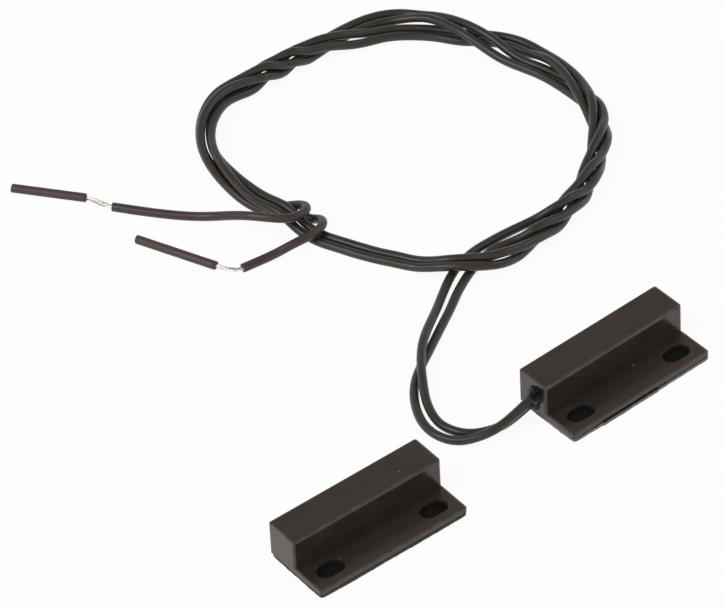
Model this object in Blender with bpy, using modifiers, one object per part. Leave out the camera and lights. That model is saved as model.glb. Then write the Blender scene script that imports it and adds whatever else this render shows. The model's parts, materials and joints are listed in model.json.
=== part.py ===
"""Door contact sensor: a wired reed half, its loop of two wires, and the magnet half, in metres with +Z up.

The origin is the middle of the sensor's mounting face. +X runs along the body, away from the wires, and +Y points
to the tall block.
"""

import math

import bmesh
import bpy
import numpy as np
from mathutils import Matrix, Vector

# Body, shared by both halves
BODY_LENGTH = 0.0280
BODY_WIDTH = 0.0124
BLOCK_WIDTH = 0.0062
SHELL_HEIGHT = 0.0063
FLANGE_THICKNESS = 0.0009
WALL = 0.0009
FILLET_RADIUS = 0.0004
TOP_EDGE_RADIUS = 0.0005
SMALL_EDGE_RADIUS = 0.00025
FRONT_CORNER_RADIUS = 0.0005
BACK_CORNER_RADIUS = 0.0003

# Screw slots and mounting pad
SLOT_LENGTH = 0.0048
SLOT_WIDTH = 0.0030
SLOT_SPACING = 0.0196
PAD_THICKNESS = 0.0006
PAD_INSET = 0.0001

# Clearances
SEAT_GAP = 0.0001
FACE_GAP = 0.0003

# Where the magnet half lies
PAIR_GAP = 0.0217
MAGNET_SHIFT = -0.0003
MAGNET_YAW = -2.29
MAGNET_SIDE = 0.0040
MAGNET_LENGTH = 0.0220
MAGNET_EDGE_RADIUS = 0.0003
MAGNET_BED = 0.0010

# Wires
WIRE_DIAMETER = 0.00145
STRAND_DIAMETER = 0.00065
WIRE_PITCH = WIRE_DIAMETER + 0.00047
TABLE_GAP = 0.00003
EXIT_TURN = 21.0
EXIT_HEIGHT = 0.0029
EXIT_BACK = 0.0029
EXIT_MARGIN = 0.0003
SEALANT_BULGE = 0.0005

# Reed switch, along the line of wire A
GLASS_LENGTH = 0.0140
GLASS_DIAMETER = 0.0020
GLASS_WALL = 0.00025
LEAD_DIAMETER = 0.0005
LEAD_CLEARANCE = 0.00008
LEAD_REACH = 0.0093
SEAL_LENGTH = 0.0015
BLADE_WIDTH = 0.0010
BLADE_THICKNESS = 0.00015
BLADE_OVERLAP = 0.0012
CONTACT_GAP = 0.00024
SOLDER_LENGTH = 0.0012
SOLDER_DIAMETER = 0.0010

# Loop of the wires, as a rope with two turns of both wires in it; the shift moves its middle line by millimetres
LOOP_X = 0.0253
LOOP_Y = 0.0592
LOOP_RADIUS = 0.0289
LOOP_WAVES = ((2, 0.00172, -65.5), (3, 0.00094, 8.4), (4, 0.00114, -40.9))
LOOP_SHIFT = (
    (-106, 1.45), (-97, 1.1), (-88, 0.8), (-79, 0.65), (-65, 0.35), (-49, -0.1), (-40, 0.35), (-33, 0.8),
    (-17, 1.4), (0, 1.65), (15, 1.75), (31, 0.9), (45, 1.8), (57, 2.2), (71, 1.3), (85, 0.5), (95, 0.15),
    (106, 0.2), (116, 1.1), (125, 0.9), (135, 0.2), (145, -0.5), (160, -0.9), (175, -0.75), (186, -0.6),
    (197, -0.8), (205, -1.6), (217, -2.5), (227, -2.65), (232, -2.15), (237, -1.15), (242, 0.0), (247, 0.85),
    (254, 1.45),
)
ROPE_PITCH = WIRE_DIAMETER + 0.00026

# Where each wire lies in the loop: degrees round it, then pitches outward from its middle line and up from the table.
# The first pass comes in under the second, and both pairs wind round each other as they go.
LAY_A = (
    (-104, -1.64, 0), (-99, -1.64, 0), (-95.5, -1.35, 0.1), (-92, -0.75, 0.5), (-88.7, -0.2, 1.05),
    (-85.4, 0, 1.2), (-82, 0.32, 1.12), (-79, 0.5, 1), (-72, 0.71, 0.71), (-65, 0.5, 0), (-57, 0, 0),
    (-49, -0.5, 0), (-41, -0.71, 0.71), (-33, -0.5, 1), (-25, 0, 1.41), (-17, 0.5, 1), (0, 1.38, 0.3),
    (6, 1.58, 0.02), (15, 1.58, 0), (20, 1.4, 0), (25, 1.1, 0), (31, 0.6, 0), (38, 0.2, 0), (45, -0.15, 0),
    (51, -0.3, 0), (57, -0.4, 0), (62, -0.42, 0.2), (67, -0.32, 0.6), (73, -0.1, 1), (79, 0.3, 1.05),
    (85, 0.5, 1), (90, 0.76, 0.76), (95.5, 0.52, 0), (101, 0, 0), (106, -0.52, 0), (120, -0.71, 0.71),
    (135, -0.5, 1), (151, 0, 1.41), (167, 0.5, 1), (180, 0.5, 1), (184, 0.5, 0.55), (188, 0.5, 0.15),
    (192, 0.5, 0), (231, 0.5, 0), (237, 0.5, 0.55), (242, 0.5, 1.02), (247, 0.58, 1.08), (251, 0.7, 0.95),
    (256, 0.78, 0.6), (263, 0.52, 0), (272, 0, 0), (281, -0.54, 0), (284, -0.74, 0.12), (288, -0.8, 0.64),
    (295, -0.5, 1), (303, 0, 1.41), (311, 0.5, 1), (319, 0.71, 0.71), (327, 0.5, 0), (335, 0, 0),
    (343, -0.5, 0), (360, -1.05, 0), (368, -1.45, 0), (374, -1.62, 0.1), (380, -1.42, 0.4),
    (385.5, -1.05, 0.82), (391, -0.6, 1.1), (398, 0, 1.1), (405, 0.5, 0.85), (411, 0.72, 0.35), (417, 0.8, 0),
    (426, 0.55, 0), (433, 0.15, 0), (439, -0.2, 0), (445, -0.5, 0), (450, -0.76, 0.76), (455.5, -0.52, 1.04),
    (461, 0, 1.5), (466, 0.52, 1.04), (480, 0.71, 0.71), (495, 0.5, 0), (511, 0, 0), (520, -0.3, 0),
    (527, -0.7, 0), (531, -1.1, 0.02), (535, -1.4, 0.25),
)
LAY_B = (
    (-106, -2.77, 0), (-100, -2.83, 0), (-94, -2.64, 0), (-87, -2.2, 0.02), (-84, -1.9, 0.14),
    (-81.5, -1.5, 0.4), (-79.5, -1.08, 0.85), (-77, -0.52, 1.2), (-72, 0, 1.45), (-65, 0.5, 1),
    (-57, 0.71, 0.71), (-49, 0.5, 0), (-41, 0, 0), (-33, -0.5, 0), (-25, -0.71, 0.71), (-17, -0.5, 1),
    (-8, 0.02, 1.1), (0, 0.4, 0.92), (6, 0.56, 0.34), (10, 0.56, 0), (15, 0.52, 0), (20, 0.3, 0),
    (25, -0.05, 0), (31, -0.6, 0), (38, -0.95, 0), (45, -1.22, 0), (51, -1.36, 0), (57, -1.44, 0),
    (64, -1.45, 0.05), (70, -1.28, 0.35), (75, -1, 0.7), (79, -0.8, 0.95), (85, -0.48, 1.12), (90, 0, 1.52),
    (95.5, 0.52, 1.06), (101, 0.76, 0.76), (106, 0.52, 0), (120, 0, 0), (135, -0.5, 0), (151, -0.71, 0.71),
    (167, -0.5, 1), (180, -0.5, 1.04), (184, -0.48, 0.68), (188, -0.5, 0.18), (191, -0.5, 0), (232, -0.5, 0),
    (238, -0.5, 0.55), (243, -0.55, 1.02), (248, -0.55, 1.1), (252, -0.2, 1.2), (256, 0.22, 1.38),
    (263, 0.52, 1.04), (272, 0.71, 0.71), (281, 0.5, 0), (288, 0, 0), (295, -0.5, 0), (303, -0.71, 0.71),
    (311, -0.5, 1), (319, 0, 1.41), (327, 0.5, 1), (335, 0.71, 0.71), (343, 0.5, 0), (360, -0.06, 0),
    (366, -0.44, 0), (371, -0.56, 0.12), (376, -0.45, 0.5), (381, -0.15, 0.9), (386, 0.25, 1.12),
    (391, 0.7, 1.1), (398, 1.2, 0.75), (405, 1.65, 0.2), (411, 2.0, 0), (417, 1.95, 0), (426, 1.6, 0),
    (433, 1.25, 0), (439, 0.9, 0), (445, 0.5, 0), (450, 0, 0), (455.5, -0.52, 0), (461, -0.76, 0.76),
    (466, -0.52, 1.04), (480, 0, 1.41), (495, 0.5, 1), (511, 0.71, 0.71), (527, 0.5, 0), (532, 0.3, 0),
    (536, -0.05, 0), (540, -0.8, 0), (543, -1.35, 0), (546, -1.6, 0),
)
LOOP_STEP = 4.0
POINT_STEP = 0.0028

# Routes outside the loop: millimetres along and across from the wire exit, and lift over the table in wire pitches
ROUTE_A_TAIL = (
    (-3.2, -0.6, 1.35), (-5.9, -0.8, 1.12), (-8.6, -0.6, 0.86), (-11.0, 0.6, 0.44), (-13.0, 2.4, 0.08),
    (-14.4, 4.9, 0), (-14.7, 7.9, 0), (-13.8, 11.0, 0), (-12.2, 13.8, 0), (-10.2, 16.2, 0), (-7.8, 18.2, 0),
    (-4.6, 20.1, 0), (-1.0, 22.2, 0), (3.0, 24.5, 0), (5.9, 26.2, 0), (8.6, 27.9, 0), (12.9, 30.1, 0),
    (15.8, 31.1, 0),
)
ROUTE_B_TAIL = (
    (-3.2, 0.4, 0.28), (-5.8, 0.6, 0.02), (-8.2, 1.2, 0), (-10.5, 2.5, 0), (-12.0, 4.6, 0), (-12.6, 7.2, 0),
    (-12.1, 9.9, 0.06), (-11.0, 12.5, 0.22), (-9.7, 14.6, 0.52), (-8.3, 16.6, 0.82), (-6.1, 19.3, 0.88),
    (-3.2, 22.1, 0.82), (1.2, 25.3, 0.5), (4.4, 27.6, 0.12), (7.1, 29.5, 0), (11.3, 32.0, 0), (14.8, 33.2, 0),
)
ROUTE_A_END = (
    (2.5, 60.4, 0.54), (3.0, 58.8, 0.95), (2.5, 57.0, 1.38), (0.5, 56.0, 1.64), (-1.6, 56.5, 1.74),
    (-3.5, 58.2, 1.78), (-5.0, 60.4, 1.68), (-6.2, 63.0, 1.28), (-7.3, 65.7, 0.68), (-8.8, 68.3, 0.2),
    (-11.2, 71.3, 0.02), (-14.6, 75.7, 0), (-18.0, 80.6, 0),
)
ROUTE_B_END = (
    (3.7, 55.8, 0.2), (3.45, 54.4, 0.58), (2.25, 53.0, 0.9), (0.3, 52.4, 0.96), (-2.1, 52.6, 0.88),
    (-4.0, 53.2, 0.64), (-5.6, 53.9, 0.28), (-7.4, 54.5, 0.04), (-9.6, 54.9, 0), (-12.1, 55.3, 0),
)
STRANDS_A = ((-18.7, 82.1), (-19.3, 83.9), (-20.3, 85.96))
STRANDS_B = ((-13.3, 55.95), (-14.2, 57.1), (-15.1, 59.3))
SLEEVE_A = (-19.7, 85.1, 125.9, 12.5)
SLEEVE_B = (-14.8, 58.5, 111.3, 14.6)
SLEEVE_BORE = STRAND_DIAMETER + 0.0003
STRANDS_IN_SLEEVE = 0.7

# Heights and positions that follow from the sizes above
SHELL_BASE = PAD_THICKNESS + SEAT_GAP
SHELL_TOP = SHELL_BASE + SHELL_HEIGHT
BLOCK_FRONT = BODY_WIDTH / 2 - BLOCK_WIDTH
CAVITY_BACK = BODY_WIDTH / 2 - WALL
CAVITY_FRONT = BLOCK_FRONT + WALL
CAVITY_END = BODY_LENGTH / 2 - WALL
SLOT_Y = (BLOCK_FRONT - BODY_WIDTH / 2) / 2
EXIT_X = -BODY_LENGTH / 2
EXIT_Y = BODY_WIDTH / 2 - BLOCK_WIDTH + EXIT_BACK
HALF_PITCH_Y = WIRE_PITCH / 2 * math.sin(math.radians(EXIT_TURN))
HALF_PITCH_Z = WIRE_PITCH / 2 * math.cos(math.radians(EXIT_TURN))
WIRE_A_Y = EXIT_Y - HALF_PITCH_Y
WIRE_A_Z = EXIT_HEIGHT + HALF_PITCH_Z
WIRE_B_Y = EXIT_Y + HALF_PITCH_Y
WIRE_B_Z = EXIT_HEIGHT - HALF_PITCH_Z
SEALANT_OUT = EXIT_X - SEALANT_BULGE
SEALANT_IN = EXIT_X + WALL + SEAT_GAP
WIRE_START = SEALANT_OUT - FACE_GAP
WIRE_REST = WIRE_DIAMETER / 2 + TABLE_GAP
PIVOT_X = GLASS_LENGTH / 2 - SEAL_LENGTH - FACE_GAP


def clear_scene():
    for old in list(bpy.data.objects):
        bpy.data.objects.remove(old)


def new_collection(name, render):
    made = bpy.data.collections.new(name)
    made.hide_render = not render
    bpy.context.scene.collection.children.link(made)
    return made


def material(name, colour, roughness, metallic=0.0):
    made = bpy.data.materials.new(name)
    made.use_nodes = True
    shader = made.node_tree.nodes["Principled BSDF"]
    shader.inputs["Base Color"].default_value = (*colour, 1.0)
    shader.inputs["Roughness"].default_value = roughness
    shader.inputs["Metallic"].default_value = metallic
    made.diffuse_color = (*colour, 1.0)
    return made


def rounded(corners):
    """Points of a closed outline from (x, y, radius) corners, each corner an arc of five points."""
    count = len(corners)
    points = []
    for index in range(count):
        here = Vector(corners[index][:2])
        before = (Vector(corners[index - 1][:2]) - here).normalized()
        after = (Vector(corners[(index + 1) % count][:2]) - here).normalized()
        radius = corners[index][2]
        if radius == 0:
            points.append(tuple(here))
            continue
        half = before.angle(after) / 2
        centre = here + (before + after).normalized() * (radius / math.sin(half))
        first = here + before * (radius / math.tan(half)) - centre
        last = here + after * (radius / math.tan(half)) - centre
        turn = first.angle_signed(last)
        for step in range(5):
            angle = -turn * step / 4
            spun = Matrix.Rotation(angle, 2) @ first
            points.append(tuple(centre + spun))
    return points


def obround(x, y, length, width):
    """Points of a slot outline along X, with nine points on each round end."""
    reach = (length - width) / 2
    points = []
    for side in (1, -1):
        for step in range(9):
            angle = math.pi * (step / 8 - 0.5)
            points.append((x + side * (reach + math.cos(angle) * width / 2), y + side * math.sin(angle) * width / 2))
    return points


def box_outline(left, right, front, back, radius_front, radius_back):
    return rounded(
        [(left, front, radius_front), (right, front, radius_front), (right, back, radius_back), (left, back, radius_back)]
    )


def extruded(outlines, thickness):
    """A mesh of flat outlines, filled and drawn to the thickness about z = 0. Inner outlines are holes."""
    curve = bpy.data.curves.new("outline", "CURVE")
    curve.dimensions = "2D"
    curve.fill_mode = "BOTH"
    curve.extrude = thickness / 2
    for outline in outlines:
        spline = curve.splines.new("POLY")
        spline.points.add(len(outline) - 1)
        for point, (x, y) in zip(spline.points, outline):
            point.co = (x, y, 0.0, 1.0)
        spline.use_cyclic_u = True
    holder = bpy.data.objects.new("outline", curve)
    bpy.context.scene.collection.objects.link(holder)
    bpy.context.view_layer.update()
    made = bpy.data.meshes.new_from_object(holder.evaluated_get(bpy.context.evaluated_depsgraph_get()))
    bpy.data.objects.remove(holder)
    weld(made)
    return made


def weld(mesh):
    work = bmesh.new()
    work.from_mesh(mesh)
    bmesh.ops.remove_doubles(work, verts=work.verts, dist=1e-7)
    bmesh.ops.recalc_face_normals(work, faces=work.faces)
    work.to_mesh(mesh)
    work.free()


def put(name, mesh, collection, matter=None, parent=None):
    made = bpy.data.objects.new(name, mesh)
    mesh.name = name
    collection.objects.link(made)
    if matter is not None:
        mesh.materials.append(matter)
    if parent is not None:
        made.parent = parent
    return made


def box_mesh(low, high):
    mesh = bpy.data.meshes.new("box")
    work = bmesh.new()
    bmesh.ops.create_cube(work, size=1.0)
    size = Vector(high) - Vector(low)
    middle = (Vector(high) + Vector(low)) / 2
    bmesh.ops.transform(work, matrix=Matrix.Translation(middle) @ Matrix.Diagonal((*size, 1.0)), verts=work.verts)
    work.to_mesh(mesh)
    work.free()
    return mesh


def turned(profile, steps):
    """A mesh object's data and the Screw that turns it about Z. The profile is a closed outline of (radius, z)."""
    mesh = bpy.data.meshes.new("profile")
    count = len(profile)
    mesh.from_pydata([(r, 0.0, z) for r, z in profile], [(i, (i + 1) % count) for i in range(count)], [])

    def finish(made):
        screw = made.modifiers.new("turn", "SCREW")
        screw.axis = "Z"
        screw.angle = math.tau
        screw.steps = steps
        screw.render_steps = steps
        screw.use_merge_vertices = True
        screw.merge_threshold = 0.00001

    return mesh, finish


def tube(name, points, diameter, collection, matter, resolution=1):
    """A round tube along the points, closed at both ends."""
    curve = bpy.data.curves.new(name, "CURVE")
    curve.dimensions = "3D"
    curve.bevel_depth = diameter / 2
    curve.bevel_resolution = resolution
    curve.use_fill_caps = True
    spline = curve.splines.new("POLY")
    spline.points.add(len(points) - 1)
    for point, place in zip(spline.points, points):
        point.co = (*place, 1.0)
    curve.materials.append(matter)
    made = bpy.data.objects.new(name, curve)
    collection.objects.link(made)
    return made


def cut(made, cutter, operation="DIFFERENCE"):
    step = made.modifiers.new(cutter.name, "BOOLEAN")
    step.operation = operation
    step.solver = "EXACT"
    step.object = cutter
    cutter.display_type = "WIRE"


STAND_ALONG_X = Matrix(((0, 0, 1, 0), (1, 0, 0, 0), (0, 1, 0, 0), (0, 0, 0, 1)))


def housing(name, parts, cutters, matter, parent):
    """The shell of one half: a block and flange section along X, trimmed to its plan, hollow from below, slotted."""
    front = -BODY_WIDTH / 2
    back = BODY_WIDTH / 2
    flange = SHELL_BASE + FLANGE_THICKNESS
    section = rounded(
        [
            (back, SHELL_BASE, 0.0), (back, SHELL_TOP, SMALL_EDGE_RADIUS), (BLOCK_FRONT, SHELL_TOP, TOP_EDGE_RADIUS),
            (BLOCK_FRONT, flange, FILLET_RADIUS), (front, flange, SMALL_EDGE_RADIUS), (front, SHELL_BASE, 0.0),
        ]
    )
    mesh = extruded([section], BODY_LENGTH)
    mesh.transform(STAND_ALONG_X)
    made = put(name, mesh, parts, matter, parent)

    half = BODY_LENGTH / 2
    plan = extruded([box_outline(-half, half, front, back, FRONT_CORNER_RADIUS, BACK_CORNER_RADIUS)], 4 * SHELL_TOP)
    cut(made, put(name + "_plan", plan, cutters, None, parent), "INTERSECT")
    hollow = box_mesh(
        (-CAVITY_END, CAVITY_FRONT, -SHELL_TOP), (CAVITY_END, CAVITY_BACK, SHELL_TOP - WALL)
    )
    cut(made, put(name + "_hollow", hollow, cutters, None, parent))
    for side in (-1, 1):
        slot = extruded([obround(side * SLOT_SPACING / 2, SLOT_Y, SLOT_LENGTH, SLOT_WIDTH)], 4 * flange)
        cut(made, put(name + "_slot", slot, cutters, None, parent))
    return made


def pad(name, parts, matter, parent):
    """The foam pad under one half, which closes the slots from below."""
    half = BODY_LENGTH / 2 - PAD_INSET
    front = -BODY_WIDTH / 2 + PAD_INSET
    outline = box_outline(-half, half, front, -front, FRONT_CORNER_RADIUS, FRONT_CORNER_RADIUS)
    mesh = extruded([outline], PAD_THICKNESS)
    mesh.transform(Matrix.Translation((0, 0, PAD_THICKNESS / 2)))
    return put(name, mesh, parts, matter, parent)


def window_mesh(grow, left, right):
    """The wire exit's outline in the end wall, grown by a margin and drawn from left to right along X."""
    width = 2 * HALF_PITCH_Y + WIRE_DIAMETER + 2 * (EXIT_MARGIN + grow)
    height = 2 * HALF_PITCH_Z + WIRE_DIAMETER + 2 * (EXIT_MARGIN + grow)
    outline = [(EXIT_Y + y, EXIT_HEIGHT + x) for x, y in obround(0.0, 0.0, height, width)]
    mesh = extruded([outline], right - left)
    mesh.transform(Matrix.Translation(((left + right) / 2, 0, 0)) @ STAND_ALONG_X)
    return mesh


def bevel(made, width, segments):
    step = made.modifiers.new("edges", "BEVEL")
    step.width = width
    step.segments = segments
    step.limit_method = "ANGLE"
    step.angle_limit = math.radians(50)


def aligned(place, direction):
    """A matrix that moves local +Z onto the direction at the place."""
    turn = Vector((0, 0, 1)).rotation_difference(Vector(direction).normalized())
    return Matrix.Translation(place) @ turn.to_matrix().to_4x4()


def ease(low, high, value):
    part = np.clip((value - low) / (high - low), 0.0, 1.0)
    return part * part * (3.0 - 2.0 * part)


def along_keys(keys, value):
    """A smooth value through the keys, by cubic pieces with matched slopes."""
    table = np.array(keys, dtype=float)
    gaps = np.diff(table[:, 0])
    rise = np.diff(table[:, 1]) / gaps
    inner = (rise[:-1] * gaps[1:] + rise[1:] * gaps[:-1]) / (gaps[1:] + gaps[:-1])
    slope = np.concatenate([rise[:1], inner, rise[-1:]])
    value = np.clip(value, table[0, 0], table[-1, 0])
    left = np.clip(np.searchsorted(table[:, 0], value) - 1, 0, len(gaps) - 1)
    part = (value - table[left, 0]) / gaps[left]
    ends = (2 * part**3 - 3 * part**2 + 1) * table[left, 1] + (3 * part**2 - 2 * part**3) * table[left + 1, 1]
    pull = (part**3 - 2 * part**2 + part) * slope[left] + (part**3 - part**2) * slope[left + 1]
    return ends + pull * gaps[left]


def loop_radius(angle):
    radius = np.full_like(angle, LOOP_RADIUS)
    for count, size, turn in LOOP_WAVES:
        radius = radius + size * np.cos(np.radians(count * (angle - turn)))
    return radius


def loop_points(lay):
    """Points of one wire round the loop, from its places outward and up."""
    table = np.array(lay, dtype=float)
    run = np.arange(table[0, 0], table[-1, 0] + 0.1, LOOP_STEP)
    middle = loop_radius(run) + 0.001 * along_keys(LOOP_SHIFT, (run + 106.0) % 360.0 - 106.0)
    reach = middle + ROPE_PITCH * along_keys(table[:, (0, 1)], run)
    height = WIRE_REST + ROPE_PITCH * np.maximum(along_keys(table[:, (0, 2)], run), 0.0)
    turn = np.radians(run)
    return np.stack(
        [EXIT_X + LOOP_X + reach * np.cos(turn), EXIT_Y + LOOP_Y + reach * np.sin(turn), height], axis=1
    )


def route_points(route):
    table = np.array(route, dtype=float)
    lift = table[:, 2] if table.shape[1] > 2 else np.zeros(len(table))
    return np.stack(
        [EXIT_X + table[:, 0] / 1000, EXIT_Y + table[:, 1] / 1000, WIRE_REST + lift * WIRE_PITCH], axis=1
    )


def smooth_points(points, step):
    """Evenly spaced points on the natural cubic curve through the points."""
    chord = np.sqrt(np.linalg.norm(np.diff(points, axis=0), axis=1))
    knots = np.concatenate([[0.0], np.cumsum(chord)])
    count = len(points)
    matrix = np.zeros((count, count))
    right = np.zeros((count, 3))
    matrix[0, 0] = 1.0
    matrix[-1, -1] = 1.0
    for i in range(1, count - 1):
        matrix[i, i - 1] = chord[i - 1]
        matrix[i, i] = 2 * (chord[i - 1] + chord[i])
        matrix[i, i + 1] = chord[i]
        right[i] = 6 * ((points[i + 1] - points[i]) / chord[i] - (points[i] - points[i - 1]) / chord[i - 1])
    bend = np.linalg.solve(matrix, right)
    fine = np.linspace(0.0, knots[-1], 24 * count)
    left = np.clip(np.searchsorted(knots, fine) - 1, 0, count - 2)
    width = chord[left][:, None]
    ahead = (knots[left + 1] - fine)[:, None]
    behind = (fine - knots[left])[:, None]
    curve = (bend[left] * ahead**3 + bend[left + 1] * behind**3) / (6 * width)
    curve = curve + (points[left] / width - bend[left] * width / 6) * ahead
    curve = curve + (points[left + 1] / width - bend[left + 1] * width / 6) * behind
    curve[:, 2] = np.maximum(curve[:, 2], WIRE_REST)
    length = np.concatenate([[0.0], np.cumsum(np.linalg.norm(np.diff(curve, axis=0), axis=1))])
    even = np.linspace(0.0, length[-1], int(round(length[-1] / step)) + 1)
    return np.stack([np.interp(even, length, curve[:, axis]) for axis in range(3)], axis=1)


def wire_points(start, tail, lay, end):
    gather = [np.array([start]), route_points(tail), loop_points(lay), route_points(end)]
    return smooth_points(np.vstack(gather), POINT_STEP)


def between(points, others, near):
    """The least distance between two runs of points, each cut finer, leaving out pairs nearer than near along a run."""
    fine = [np.concatenate([run[:-1] + (run[1:] - run[:-1]) * part for part in (0.0, 0.25, 0.5, 0.75)]) for run in (points, others)]
    places = [np.concatenate([np.arange(len(run) - 1) + part for part in (0.0, 0.25, 0.5, 0.75)]) for run in (points, others)]
    space = np.linalg.norm(fine[0][:, None] - fine[1][None], axis=2)
    if near:
        space[np.abs(places[0][:, None] - places[1][None]) * POINT_STEP < near] = 1.0
    return space.min()


def sensor_half(parts, cutters, looks):
    shell = housing("sensor_housing", parts, cutters, looks["plastic"], None)
    cut(shell, put("wire_window", window_mesh(0.0, EXIT_X - WALL, EXIT_X + 2 * WALL), cutters))
    pad("sensor_adhesive_pad", parts, looks["foam"], None)

    plug = put("wire_exit_sealant", window_mesh(-SEAT_GAP, SEALANT_OUT, SEALANT_IN), parts, looks["glue"])
    bevel(plug, 0.00035, 2)

    floor = WIRE_B_Z - WIRE_DIAMETER / 2 - SEAT_GAP
    potting = put(
        "sensor_potting",
        box_mesh(
            (-CAVITY_END + SEAT_GAP, CAVITY_FRONT + SEAT_GAP, SHELL_BASE),
            (CAVITY_END - SEAT_GAP, CAVITY_BACK - SEAT_GAP, WIRE_A_Z),
        ),
        parts,
        looks["potting"],
    )
    trough_front = WIRE_A_Y - GLASS_DIAMETER / 2 - SEAT_GAP
    trough_back = WIRE_B_Y + WIRE_DIAMETER / 2 + SEAT_GAP
    trough = box_mesh((-BODY_LENGTH, trough_front, floor), (BODY_LENGTH, trough_back, 2 * SHELL_TOP))
    cut(potting, put("sensor_trough", trough, cutters))


def reed_switch(parts, looks):
    half = GLASS_LENGTH / 2
    outer = GLASS_DIAMETER / 2
    inner = outer - GLASS_WALL
    neck = LEAD_DIAMETER / 2 + LEAD_CLEARANCE
    shoulder = half - SEAL_LENGTH
    axis = Vector((0.0, WIRE_A_Y, WIRE_A_Z))
    profile = [
        (neck, half), (outer * 0.7, half - 0.0001), (outer, half - 0.0006), (outer, -half + 0.0006),
        (outer * 0.7, -half + 0.0001), (neck, -half), (neck, -shoulder), (inner, -shoulder + 0.0004),
        (inner, shoulder - 0.0004), (neck, shoulder),
    ]
    mesh, finish = turned(profile, 20)
    glass = put("reed_glass_tube", mesh, parts, looks["glass"])
    finish(glass)
    glass.matrix_world = aligned(axis, (1, 0, 0))

    blade_reach = PIVOT_X + BLADE_OVERLAP / 2
    blade_offset = CONTACT_GAP / 2 + BLADE_THICKNESS / 2
    for side, word in ((-1, "near"), (1, "far")):
        ends = (PIVOT_X + FACE_GAP, LEAD_REACH)
        points = [axis + Vector((side * x, 0, 0)) for x in ends]
        tube("reed_lead_" + word, points, LEAD_DIAMETER, parts, looks["lead"], 2)

        half_size = Vector((0, BLADE_THICKNESS / 2, BLADE_WIDTH / 2))
        low = Vector((min(0, -side * blade_reach), 0, 0)) - half_size
        high = Vector((max(0, -side * blade_reach), 0, 0)) + half_size
        blade = put("reed_blade_" + word, box_mesh(low, high), parts, looks["lead"])
        blade.location = axis + Vector((side * PIVOT_X, side * blade_offset, 0))

        joint = bpy.data.meshes.new("solder")
        work = bmesh.new()
        size = (SOLDER_LENGTH, SOLDER_DIAMETER, SOLDER_DIAMETER)
        bmesh.ops.create_uvsphere(work, u_segments=12, v_segments=8, radius=0.5, matrix=Matrix.Diagonal((*size, 1.0)))
        work.to_mesh(joint)
        work.free()
        solder = put("solder_joint_" + word, joint, parts, looks["solder"])
        solder.location = axis + Vector((side * (LEAD_REACH + SEAT_GAP + SOLDER_LENGTH / 2), 0, 0))


def inner_wires(parts, looks):
    start = SEALANT_IN + FACE_GAP
    joint = LEAD_REACH + SEAT_GAP + SOLDER_LENGTH
    near = [(start, WIRE_A_Y, WIRE_A_Z), (-joint - SEAT_GAP, WIRE_A_Y, WIRE_A_Z)]
    tube("inner_wire_near", near, WIRE_DIAMETER, parts, looks["wire"], 2)
    stop = LEAD_REACH - WIRE_DIAMETER / 2
    far = [(start, WIRE_B_Y, WIRE_B_Z), (stop, WIRE_B_Y, WIRE_B_Z)]
    tube("inner_wire_far", far, WIRE_DIAMETER, parts, looks["wire"], 2)
    middle = LEAD_REACH + SEAT_GAP + SOLDER_LENGTH / 2
    under = WIRE_A_Z - SOLDER_DIAMETER / 2 - SEAT_GAP
    strands = [
        (stop + SEAT_GAP, WIRE_B_Y, WIRE_B_Z), (middle - STRAND_DIAMETER, WIRE_B_Y, WIRE_B_Z),
        (middle, (WIRE_A_Y + WIRE_B_Y) / 2, (WIRE_B_Z + under) / 2), (middle, WIRE_A_Y, under),
    ]
    tube("inner_strands_far", strands, STRAND_DIAMETER, parts, looks["tinned"])


def wire_end(letter, last, strands, sleeve, parts, looks):
    """The bared strands of one wire and the cut sleeve left on them."""
    x, y, turn, length = sleeve
    turn = math.radians(turn)
    length = length / 1000
    direction = Vector((math.cos(turn), math.sin(turn), 0))
    start = Vector((EXIT_X + x / 1000, EXIT_Y + y / 1000, WIRE_REST))
    profile = [
        (WIRE_DIAMETER / 2, length), (WIRE_DIAMETER / 2, 0.0), (SLEEVE_BORE / 2, 0.0), (SLEEVE_BORE / 2, length),
    ]
    mesh, finish = turned(profile, 16)
    made = put("wire_" + letter + "_end_sleeve", mesh, parts, looks["sleeve"])
    finish(made)
    made.matrix_world = aligned(start, direction)

    tip, before = Vector(last[-1]), Vector(last[-2])
    first = tip + (tip - before).normalized() * SEAT_GAP
    inside = [start + direction * (length * part) for part in (0.04, 0.3, STRANDS_IN_SLEEVE)]
    gather = [np.array(first)] + [point for point in route_points(strands)[:-1]] + [np.array(p) for p in inside]
    tube("wire_" + letter + "_strands", gather, STRAND_DIAMETER, parts, looks["tinned"])


def magnet_half(parts, cutters, looks):
    holder = bpy.data.objects.new("magnet_place", None)
    holder.location = (-BODY_LENGTH - PAIR_GAP, MAGNET_SHIFT, 0)
    holder.rotation_euler = (0, 0, math.radians(MAGNET_YAW))
    parts.objects.link(holder)
    housing("magnet_housing", parts, cutters, looks["plastic"], holder)
    pad("magnet_adhesive_pad", parts, looks["foam"], holder)
    middle = (CAVITY_FRONT + CAVITY_BACK) / 2
    half = Vector((MAGNET_LENGTH / 2, MAGNET_SIDE / 2, 0))
    low = Vector((0, middle, SHELL_BASE + MAGNET_BED)) - half
    high = Vector((0, middle, SHELL_BASE + MAGNET_BED + MAGNET_SIDE)) + half
    bar = put("bar_magnet", box_mesh(low, high), parts, looks["magnet"], holder)
    bevel(bar, MAGNET_EDGE_RADIUS, 2)
    bed = box_mesh(
        (-CAVITY_END + SEAT_GAP, CAVITY_FRONT + SEAT_GAP, SHELL_BASE),
        (CAVITY_END - SEAT_GAP, CAVITY_BACK - SEAT_GAP, SHELL_BASE + MAGNET_BED - SEAT_GAP),
    )
    put("magnet_potting", bed, parts, looks["potting"], holder)


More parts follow.
